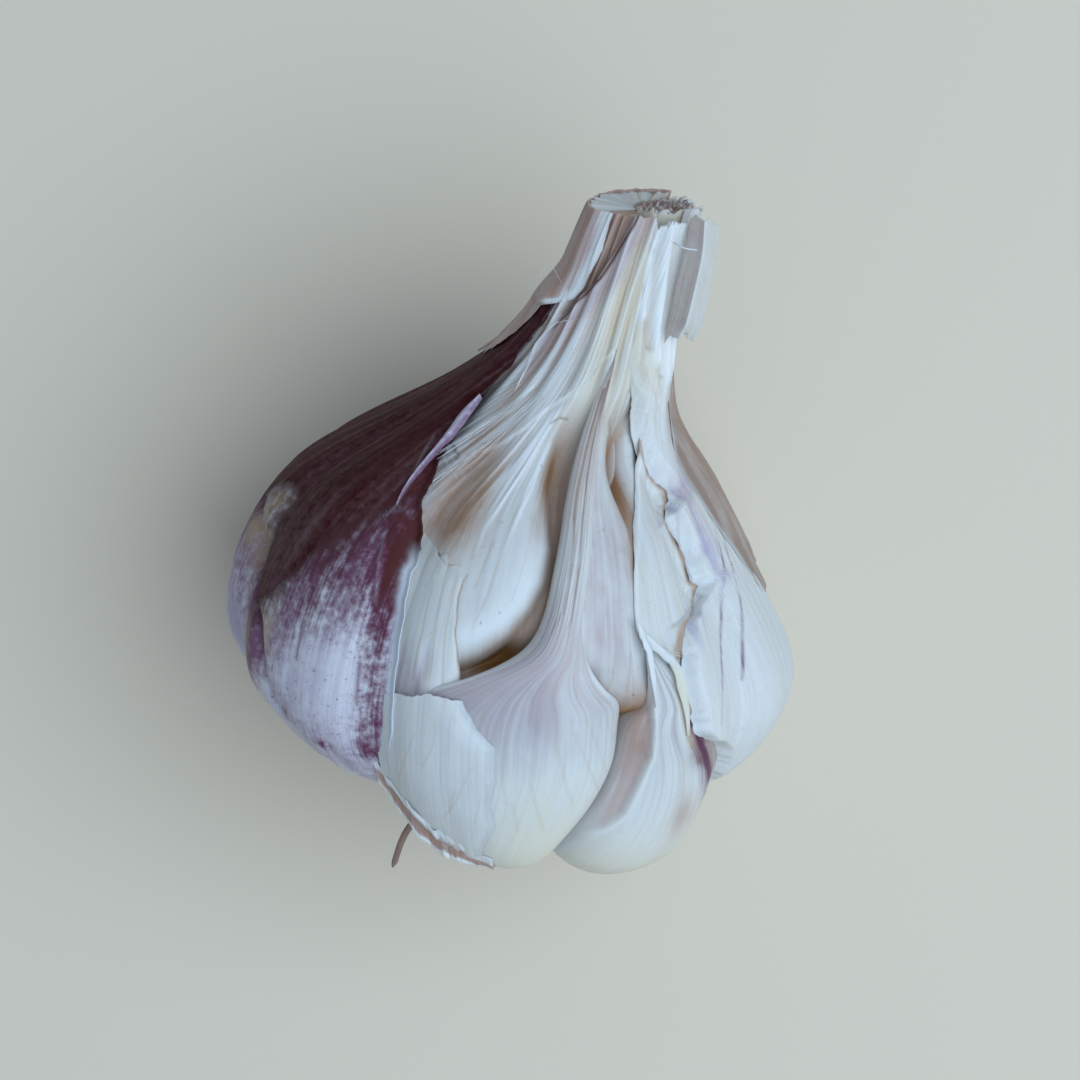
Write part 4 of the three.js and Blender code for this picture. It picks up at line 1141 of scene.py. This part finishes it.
def left_band_place(s, t):
    along = mix(*LEFT_BAND_ALONG, t)
    right = torn(read_off(along, LEFT_BAND), along, 90, 0.25)
    left = read_off(along, PURPLE_TEAR) + 4
    angle = mix(right, left, s)
    from_edge = past_edge(right, angle, along)
    low_rag = fray(angle, (0.014, 2.2, 93), (0.01, 0.7, 94))
    top = 0.0016 * (angle - 113) + 0.006 * wander(angle / 2, 0.5, 91)
    along = along + low_rag * (1 - smooth(t, 0, 0.12)) + top * smooth(t, 0.7, 1)
    fade = 1 - 0.6 * smooth(t, 0.85, 1)
    past_fold = along - LOWEST_UNDER
    under, _ = front_skin(angle, LOWEST_UNDER + (past_fold + np.sqrt(past_fold**2 + 0.0006)) / 2)
    ribs = ripple(angle, along, (0.04, 1.7, 4, 95), (0.02, 0.7, 5, 97))
    puckers = smooth(angle, 105, 109) * (1 - smooth(along, 0.475, 0.53))
    ribs = ribs + 0.3 * wander(angle / 2.2, along * 26, 99) * puckers
    lift = under + 0.01 + 0.12 * fade + ribs * fade + 0.35 * (1 - smooth(t, 0, 0.35))
    tan_edge = band(from_edge, 0.16)
    veil = spot(angle, along, (113, 0.655), (10, 0.042))
    marks = {
        "cream": 0.2 + 0.2 * wander(angle / 3.5, along * 6, 98) * fade, "coarse": 0.3,
        "lilac": 0.55 * (1 - smooth(along, 0.47, 0.52)) * smooth(angle, 104, 109),
        "brown": limited(0.85 * tan_edge * fade + 0.75 * veil), "pink": 0.35 * veil,
        "pale": 0.4 * smooth(ribs, 0.02, 0.07) * fade,
        "vein": 0.35 * strokes(angle, along, BAND_VEINS, 0.12),
    }
    return angle, along, lift, 0.04 + 0.12 * fade * smooth(from_edge, 0, 0.4), marks


skin_sheet("left_band", left_band_place, 100, 230, leaf_base, ("left_band",))

# Each row is along, its right angle and its left angle
RIGHT_BAND = [
    (0.488, 45, 54), (0.5, 42, 57), (0.522, 34, 59), (0.545, 30, 58.8), (0.58, 26, 57.3), (0.63, 23, 52.5),
    (0.682, 24, 44.5), (0.72, 32, 41.8), (0.74, 34, 41.8), (0.765, 38, 43.5), (0.79, 42, 50),
]


def right_band_place(s, t):
    along = from_end_to_end(RIGHT_BAND, t)
    right = read_off(along, RIGHT_BAND)
    left = torn(read_off(along, RIGHT_BAND, 2), along, 100, 0.15)
    angle = mix(right, left, s)
    from_left = -past_edge(left, angle, along)
    low_rag = fray(angle, (0.016, 1.9, 106), (0.01, 0.6, 107))
    along = along + low_rag * (1 - smooth(t, 0, 0.12))
    under, _ = front_skin(angle, along)
    ribs = ripple(angle, along, (0.07, 1.6, 3, 103), (0.035, 0.7, 4, 104))
    lift = np.maximum(under + 0.05, -1.0 - 1.1 * smooth(from_left, 2.2, 0))
    lift = lift + 0.1 * smooth(from_left, 1, 0) + ribs
    tear = read_off(along, RIGHT_TEAR)
    lift = mix(lift, -0.35 + 0.5 * ribs, smooth(angle, tear + 6, tear + 1))
    lift = lift + 0.3 * (1 - smooth(t, 0, 0.1)) * wander(angle / 2, 0.5, 108)
    # Painted shade in the gap by the right wrapper's torn edge
    shade_by_tear = smooth(angle, tear + 3, tear + 0.8)
    marks = {
        "cream": 0.15 + 0.2 * wander(angle / 2.3, along * 4, 105), "coarse": 0.35,
        "lilac": 0.25 * spot(angle, along, (45, 0.63), (6, 0.05)),
        "brown": limited(0.6 * shade_by_tear + 0.3 * band(from_left, 0.1)),
        "pale": limited(0.4 * smooth(ribs, 0.03, 0.1) + 0.6 * band(from_left - 0.35, 0.3)),
        "vein": 0.25 * smooth(-ribs, 0.04, 0.1) + 0.3 * shade_by_tear,
    }
    return angle, along, lift, 0.05 + 0.15 * smooth(from_left, 0, 0.5), marks


skin_sheet("right_band", right_band_place, 120, 220, leaf_base, ("right_band",))

# Thin patch of skin on the front clove
FLAKE_LEFT = 117.5
FLAKE_EDGE = [
    (0.16, 96), (0.245, 95), (0.295, 91.5), (0.33, 92.5), (0.362, 91.5), (0.405, 91.5), (0.427, 95.5),
    (0.462, 98.5),
]
FLAKE_VEINS = [
    [(103.5, 0.43), (104, 0.4), (106, 0.37)], [(96.5, 0.378), (99.5, 0.33), (102.5, 0.295)],
    [(108, 0.41), (110, 0.37), (112, 0.33)], [(99.5, 0.35), (101, 0.31)], [(94.5, 0.34), (96, 0.3)],
]


def flake_place(s, t):
    along = from_end_to_end(FLAKE_EDGE, t)
    right = torn(read_off(along, FLAKE_EDGE), along, 110, 0.3)
    angle = mix(right, FLAKE_LEFT, s)
    from_edge = past_edge(right, angle, along)
    rag = fray(angle, (0.006, 4, 113), (0.002, 0.9, 114))
    along = along + (rag - 0.014 * smooth(angle, 104, 112)) * smooth(t, 0.85, 1.0)
    veins = strokes(angle, along, FLAKE_VEINS, 0.11)
    lift = 0.1 + 0.3 * smooth(from_edge, 0, 3) + 0.06 * wander(angle / 2.5, along * 8, 116)
    lift = lift + 0.15 * (1 - smooth(from_edge, 0, 0.5)) * wander(along * 40, 0.5, 117)
    edge = band(from_edge, 0.3)
    marks = {
        "cream": 0.05 + 0.2 * (1 - smooth(along, 0.24, 0.34)), "vein": 0.22 * veins,
        "pale": 0.35 * edge, "brown": 0.3 * band(from_edge - 0.02, 0.08),
        "lilac": 0.15,
    }
    return angle, along, lift, 0.04 + 0.25 * smooth(from_edge, 0, 1.4), marks


skin_sheet("front_flake", flake_place, 150, 200, clove_skin, ("front_flake",), heels=True)


# Base skin: its torn edge folds out, so a hollow lies between an outer and an inner lip
BASE_SKIN_SIDES = (93, 119.5)
BASE_FOLD = [
    (0, 0.1), (0.15, 0.7), (0.28, 1.35), (0.36, 1.6), (0.44, 1.45), (0.55, 0.95), (0.68, 0.6),
    (0.8, 0.75), (0.9, 1.0),
    (1, 0.9),
]


def base_skin_place(s, t):
    angle = mix(*BASE_SKIN_SIDES, s)
    top = mix(0.232, 0.322, s**1.3) + fray(angle, (0.009, 2.3, 120), (0.004, 0.6, 121))
    along = mix(top - 0.085, top, t)
    reach = mix(0.15, 1.0, smooth(angle, 93, 106)) * (1 - 0.7 * smooth(angle, 116.5, 119.5))
    profile = read_off(t, BASE_FOLD)
    lift = reach * profile * (0.85 + 0.3 * wander(angle / 2.5, 0.5, 124))
    lift = lift + 0.12 * wander(angle / 1.2, along * 20, 122)
    # The hollow under the outer lip is in shade: the brown, pink and lilac laid in it are painted shade
    hollow = smooth(t + 0.05 * wander(angle / 1.5, 0.5, 126), 0.45, 0.53) * (1 - smooth(t, 0.72, 0.82))
    marks = {
        "cream": 0.2, "lilac": 0.25 + 0.5 * hollow * smooth(wander(angle / 2, along * 30, 125), -0.3, 0.3),
        "pink": 0.2 + 0.4 * hollow, "pale": 0.95 * (1 - hollow) * smooth(t, 0.15, 0.3), "brown": 0.5 * hollow,
    }
    return angle, along, lift, 0.08 + 0.2 * (1 - smooth(t, 0.6, 1)), marks


skin_sheet("base_skin", base_skin_place, 170, 44, leaf_base, ("base_skin",), heels=True)

# Stalk: the woody core with its cut face
STALK_END = 56.5
STALK_HEIGHTS = [2.6, 30, 38, 43, 48, 53, 56.6]
STALK_RADII = [2.5, 2.5, 2.7, 3.5, 3.8, 3.3, 2.8]
STALK_SHIFTS = [0, 0, 0.6, 1.7, 2.3, 2.3, 2.2]


def stalk_body():
    turn = np.linspace(0, 2 * np.pi, 97)[:-1][None, :]
    side = np.linspace(STALK_HEIGHTS[0], STALK_END - 0.1, 150)
    face = np.linspace(0.97, 0.06, 24)
    heights = np.concatenate([side, np.full(len(face), STALK_END)])[:, None]
    shrink = np.concatenate([np.ones(len(side)), face])[:, None]
    radius = curve_through(STALK_HEIGHTS, STALK_RADII, heights) - 0.1
    ribs = 0.12 * wander(turn * 4.5, heights / 9, 150) + 0.07 * wander(turn * 11, heights / 6, 151)
    radius = (radius + ribs) * shrink
    x, y = radius * np.cos(turn), radius * np.sin(turn)
    rough = 0.35 * wander(x * 2.2, y * 2.2, 153) + 0.25 * wander(x * 5, y * 5, 154)
    heights = heights + smooth(heights, 56.3, 56.45) * rough
    x = x + curve_through(STALK_HEIGHTS, STALK_SHIFTS, heights)
    rings = laid_down(np.degrees(np.arctan2(y, x)), np.hypot(x, y), heights, 0)
    points, sides, caps = closed_rings(rings)
    cut = shrink < 0.999
    speck = smooth(wander(x * 5.5, y * 5.5, 155), -0.05, 0.25)
    marks = with_ends({
        "fibre": np.degrees(turn), "along": heights / 57,
        "cream": np.where(cut, 0.1, 0.6), "lilac": np.where(cut, 0.5, 0.0),
        "brown": np.where(cut, 0.9 * speck, 0.1), "purple": np.where(cut, 0.35 * speck, 0.0),
        "pale": np.where(cut, 0.9 * smooth(wander(x * 4, y * 4, 156), 0.1, 0.4), 0.0),
    }, rings.shape[:2])
    piece = add_piece("stalk", points, sides, marks, leaf_base, ("stalk",))
    close_ends(piece.data, caps)


stalk_body()

# Loose skin on the right, lifted off the clove behind it. Each row is along, right angle and left angle.
LOOSE_SKIN = [
    (0.487, -14, 6), (0.517, -20, 8.5), (0.552, -26, 12.5), (0.578, -29, 16), (0.603, -30, 19),
    (0.638, -30, 21),
    (0.67, -30, 21), (0.69, -30, 17), (0.72, -24, 9), (0.76, -16, 4),
]


def loose_leaf_place(s, t):
    along = from_end_to_end(LOOSE_SKIN, t)
    right = read_off(along, LOOSE_SKIN)
    left = torn(read_off(along, LOOSE_SKIN, 2), along, 170, 0.2)
    angle = mix(right, left, s)
    from_left = -past_edge(left, angle, along)
    rise = smooth(from_left, 0, 5)
    folds = ripple(angle, along, (0.1, 3, 9, 175), (0.06, 1.1, 12, 176))
    lift = OUTERMOST + 0.02 + 0.75 * rise + folds * smooth(from_left, 0, 1)
    rib = 0.5 + 0.5 * wander(angle / 1.5, along * 4, 177)
    marks = {
        "brown": limited(0.85 + 0.25 * wander(angle / 3, along * 6, 178)) * smooth(from_left, -0.1, 1.2),
        "pink": 0.5 * smooth(from_left, 0, 1), "lilac": 0.2 * rib,
        "pale": limited(0.5 * smooth(angle, 9, 2) * smooth(angle, -4, 1)), "vein": 0.3 * smooth(rib, 0.7, 1),
        "cream": 0.2,
    }
    return angle, along, lift, 0.03 + 0.1 * rise, marks


skin_sheet("loose_leaf", loose_leaf_place, 110, 180, white_skin, ("loose_leaf",))

# Corners of the flap from its top down: left edge, fold and right edge, each as x, y and z
FLAP = [
    [(17.6, 31.2, 46.0), (18.9, 31.0, 47.2), (20.4, 30.1, 46.2)],
    [(17.0, 28.0, 45.0), (18.7, 27.6, 46.4), (20.1, 27.6, 45.2)],
    [(16.2, 24.6, 43.8), (18.0, 24.2, 45.4), (19.5, 24.2, 44.0)],
    [(15.6, 21.6, 42.4), (17.2, 21.0, 44.2), (18.8, 21.0, 42.8)],
    [(15.2, 19.6, 41.4), (16.6, 20.0, 43.0), (18.0, 19.4, 41.8)],
]


def add_flap():
    across, down = 40, 90
    s, t = np.meshgrid(np.linspace(0, 1, across + 1), np.linspace(0, 1, down + 1))
    edge = [line_through([row[k] for row in FLAP], t) for k in range(3)]
    inner = mix(edge[0], edge[1], limited(s / 0.5)[..., None])
    outer = mix(edge[1], edge[2], limited((s - 0.5) / 0.5)[..., None])
    front = np.where((s < 0.5)[..., None], inner, outer)
    rag = 0.35 * wander(s * 9, 0.5, 190) + 0.2 * wander(s * 22, 0.5, 191)
    front[..., 1] += rag * (smooth(t, 0.9, 1) + smooth(t, 0.08, 0))
    front[..., 2] += 0.08 * wander(s * 6, t * 4, 192)
    back = front - np.array([0.03, 0, 0.14])
    count = s.size
    rim = rim_of(across + 1, down + 1)
    after = np.roll(rim, -1)
    faces = np.concatenate([
        grid_faces(across + 1, down + 1, 0, True), grid_faces(across + 1, down + 1, count, False),
        np.stack([rim, after, after + count, rim + count], -1),
    ])
    fold = band(s - 0.52, 0.03)
    shade = smooth(0.5 - s, 0, 0.05)
    marks = on_both_faces({
        "fibre": s * 60, "along": 0.8 + 0.15 * t, "cream": 0.3, "brown": 0.1 + 0.15 * shade,
        "lilac": 0.3 * shade, "pink": 0.2 * shade, "pale": limited(0.9 * fold),
    }, s.shape)
    points = np.concatenate([front.reshape(-1, 3), back.reshape(-1, 3)])
    add_piece("torn_flap", points, faces, marks, white_skin)


add_flap()

# Small torn pieces: curled strips, frayed straps and single fibres

def strap(name, middle, widths, lifts, finish, marks, heels=False, curl=0.0):
    """A narrow torn strip along a line of (angle, along) points, with its width and lift at even steps.

    curl is how far its two edges stand above its middle. A mark is a number or a function of s and t.
    """
    def place(s, t):
        length = evenly([p[1] for p in middle], t)
        centre = evenly([p[0] for p in middle], t)
        width = evenly(widths, t) * (1 + 0.25 * wander(t * 14, 0.5, 200) * (1 - 2 * s) ** 2)
        angle = centre + in_degrees(width * (0.5 - s), centre, length)
        lift = evenly(lifts, t) + curl * (2 * s - 1) ** 2 + 0.05 * wander(s * 5, t * 9, 201)
        shown = {mark: amount(s, t) if callable(amount) else amount for mark, amount in marks.items()}
        return angle, length, lift, 0.1, shown
    skin_sheet(name, place, 14, 90, finish, (), heels)


strap("curled_strip", [(143, 0.745), (139, 0.722), (135.5, 0.7), (134, 0.68), (132.5, 0.658), (130.5, 0.638),
                       (129, 0.625)],
      [0.4, 1.3, 1.2, 0.7, 0.55, 0.45, 0.25], [1.0, 1.5, 1.6, 1.5, 1.35, 1.25, 1.0],
      purple_skin,
      {"lilac": 0.7, "pale": 0.1,
       "purple": lambda s, t: 0.3 + 0.6 * smooth(np.abs(2 * s - 1), 0.2, 0.8) + 0.4 * t,
       "magenta": lambda s, t: 0.8 * smooth(np.abs(2 * s - 1), 0.5, 1) * smooth(t, 0.2, 0.4)}, curl=-0.7)
strap("front_right_strap", [(58.5, 0.515), (56.5, 0.502), (54, 0.49), (51.8, 0.475), (51.2, 0.453),
                            (50.6, 0.425), (50.2, 0.395)],
      [0.5, 1.0, 1.1, 1.1, 1.0, 0.7, 0.15], [0.1, 0.2, 0.3, 0.35, 0.3, 0.2, 0.05], clove_skin,
      {"cream": lambda s, t: 0.95 * smooth(t, 0.35, 0.6),
       "pale": lambda s, t: 0.5 * smooth(t, 0.5, 0.2)}, heels=True, curl=0.2)
strap("front_right_tip", [(60, 0.53), (59, 0.515), (58, 0.5), (57.6, 0.478), (57.5, 0.458), (57.5, 0.438)],
      [0.35, 0.75, 0.8, 0.6, 0.4, 0.1], [0.1, 0.3, 0.35, 0.3, 0.2, 0.1], clove_skin,
      {"pale": 0.6}, heels=True, curl=-0.15)
strap("film_edge", [(116.5, 0.863), (126, 0.858), (134.5, 0.85), (138.5, 0.822), (134, 0.802), (130.5, 0.785),
                    (127, 0.765)],
      [0.08, 0.16, 0.2, 0.22, 0.2, 0.16, 0.08], [0.6, 0.75, 0.85, 0.85, 0.7, 0.6, 0.4], leaf_base,
      {"pale": 0.9, "lilac": 0.2}, curl=0.1)


FIBRE_STEPS = np.linspace(0, 1, 14)


def fibre_path(start, end, lifts, seed):
    angle = evenly([start[0], end[0]], FIBRE_STEPS) + 0.35 * wander(FIBRE_STEPS * 4, 0.5, seed + 0.5)
    lift = evenly(lifts, FIBRE_STEPS) + 0.06 * wander(FIBRE_STEPS * 5, 0.5, seed)
    return above(angle, evenly([start[1], end[1]], FIBRE_STEPS), [lift])[0]


# Two fibres that stand free of the surface, each as corners of x, y and z, and its radius
STRAY_FIBRES = [
    ([(3.0, 25.6, 40.5), (3.9, 27.0, 42.0), (5.2, 25.0, 43.4)], 0.03),
    ([(15.8, 28.6, 47.2), (16.9, 28.0, 48.0), (18.2, 27.8, 47.8)], 0.1),
]


def torn_fibres():
    """Real fibres are about 0.02 mm thick, finer than a pixel, so they are drawn twice as thick."""
    rng = np.random.default_rng(29)
    paths, radii = [], []

    def scatter(count, start, end, spread, lifts, radius):
        for k in range(count):
            a = (start[0] + spread * rng.normal(), start[1] + 0.004 * spread * rng.normal())
            b = (end[0] + spread * rng.normal(), end[1] + 0.004 * spread * rng.normal())
            paths.append(fibre_path(a, b, lifts, k + 300 * rng.random()))
            radii.append(radius * (0.6 + 0.8 * rng.random()))

    scatter(12, (128, 0.65), (113, 0.762), 1.6, [-0.2, 0.3, 0.3], 0.024)
    scatter(7, (133, 0.685), (119, 0.755), 1.1, [0.6, 0.7, 0.3], 0.022)
    scatter(3, (131, 0.69), (119, 0.67), 1.2, [0.9, 0.4, -0.3], 0.018)
    scatter(4, (57, 0.505), (50, 0.485), 1.0, [0.0, 0.35, 0.2], 0.03)
    for corners, radius in STRAY_FIBRES:
        paths.append(line_through(corners, FIBRE_STEPS))
        radii.append(radius)
    points, faces, share = rods(paths, radii, 5)
    marks = {"fibre": share, "along": share, "pale": np.full(len(share), 0.7)}
    add_piece("torn_fibres", points, faces, marks, white_skin)


torn_fibres()

# Root plate with its dry roots
PLATE_PROFILE = [
    (0.05, 2.2), (3, 2.2), (PLATE_R - 1.6, 0.9), (PLATE_R, -0.2), (PLATE_R - 0.9, -1.6), (5, -2.4),
    (2.5, -2.6), (0.05, -2.6),
]
STUB_COUNT = 70
STUB_TURN = 137.5  # degrees from one root to the next, which spreads them evenly
LONG_ROOT_R = 0.5


def root_paths():
    """The short dry stubs under the plate, and one longer root."""
    rng = np.random.default_rng(71)
    paths, radii = [], []
    share = np.linspace(0, 1, 8)
    for k in range(STUB_COUNT):
        from_middle = 1.0 + 5.8 * math.sqrt((k + 0.5) / STUB_COUNT)
        length = 1.6 + 3.0 * rng.random()
        bend = 2.4 * (rng.random() - 0.5)
        curl = 0.25 * np.sin(share * 7 + k)
        angle = k * STUB_TURN + share * bend * 9 + curl * 4
        drop = -1.3 - (1.1 + length) * share
        paths.append(laid_down(angle, from_middle + 0.5 * share + bend * share**2, drop, 0))
        radii.append(0.22 + 0.16 * rng.random())
    share = np.linspace(0, 1, 22)
    places = [0, 0.33, 0.66, 1]
    from_middle = curve_through(places, [4, 7, 10.5, 12], share)
    angle = curve_through(places, [200, 195, 190, 186], share)
    drop = curve_through(places, [-1.5, -6, -10, -14], share)
    paths.append(laid_down(angle, from_middle, drop, 0))
    radii.append(LONG_ROOT_R)
    return paths, radii


def root_plate():
    share = np.linspace(0, 1, 70)[:, None]
    turn = np.linspace(0, 360, 97)[:-1][None, :]
    radius = evenly([p[0] for p in PLATE_PROFILE], share)
    height = evenly([p[1] for p in PLATE_PROFILE], share)
    rough = 0.25 * wander(turn / 9, share * 22, 180) + 0.15 * wander(turn / 4, share * 40, 181)
    rings = laid_down(turn + 0 * share, radius, height + rough * smooth(radius, 0.5, 3), 0)
    points, sides, caps = closed_rings(rings)
    rod_points, rod_faces, rod_share = rods(*root_paths(), 7)

    def on_plate(values):
        return np.pad(np.broadcast_to(values, rings.shape[:2]).ravel().astype(float), 1)

    marks = {
        "fibre": np.concatenate([on_plate(turn), rod_share * 9]),
        "along": np.concatenate([on_plate(0.2 * share), rod_share * 0.1]),
        "brown": np.concatenate([np.full(len(points), 0.35), 0.2 * rod_share]),
        "pink": np.concatenate([np.zeros(len(points)), 0.5 + 0.3 * rod_share]),
    }
    faces = np.concatenate([sides, rod_faces + len(points)])
    points = np.concatenate([points, rod_points])
    piece = add_piece("root_plate", points, faces, marks, corky_plate, ("root_plate",))
    close_ends(piece.data, caps)


root_plate()

# Floor, light and camera
SKY_TINT = (0.68, 0.84, 1.0)
SKY_STRENGTH = 0.36
LAMP_PLACE = (0.3, -0.08, 0.62)
LAMP_WATTS = 4.05
LAMP_SIZE = 0.7
BULB_MIDDLE = (0, 0, 0.02)
EYE_PLACE = (0.0031, 0.00011, 0.43)
LENS = 133.3


def add_floor():
    half = 4.0
    mesh = bpy.data.meshes.new("floor")
    corners = [(-half, -half, 0), (half, -half, 0), (half, half, 0), (-half, half, 0)]
    mesh.from_pydata(corners, [], [(0, 1, 2, 3)])
    floor = bpy.data.objects.new("floor", mesh)
    bpy.context.scene.collection.objects.link(floor)
    # Plain paper: pressed pulp with no coat, so it is matt and even all over
    paper = bpy.data.materials.new("plain_matt_floor")
    paper.use_nodes = True
    shader = paper.node_tree.nodes["Principled BSDF"]
    shader.inputs["Base Color"].default_value = tone("#e8dac6")
    shader.inputs["Roughness"].default_value = 0.9
    mesh.materials.append(paper)


def add_light(name, place, target, size, watts, colour):
    light = bpy.data.lights.new(name, "AREA")
    light.shape = "DISK"
    light.size = size
    light.energy = watts
    light.color = colour
    lamp = bpy.data.objects.new(name, light)
    bpy.context.scene.collection.objects.link(lamp)
    lamp.location = place
    lamp.rotation_mode = "QUATERNION"
    lamp.rotation_quaternion = (Vector(target) - Vector(place)).to_track_quat("-Z", "Y")


add_floor()
add_light("overhead", LAMP_PLACE, BULB_MIDDLE, LAMP_SIZE, LAMP_WATTS, SKY_TINT)
world = bpy.data.worlds.new("room")
bpy.context.scene.world = world
world.use_nodes = True
world.node_tree.nodes["Background"].inputs["Color"].default_value = (*SKY_TINT, 1)
world.node_tree.nodes["Background"].inputs["Strength"].default_value = SKY_STRENGTH
bpy.context.scene.view_settings.view_transform = "Standard"

camera = bpy.data.cameras.new("camera")
camera.sensor_width = 36
camera.lens = LENS
camera.clip_start = 0.01
eye = bpy.data.objects.new("camera", camera)
bpy.context.scene.collection.objects.link(eye)
eye.location = EYE_PLACE
bpy.context.scene.camera = eye
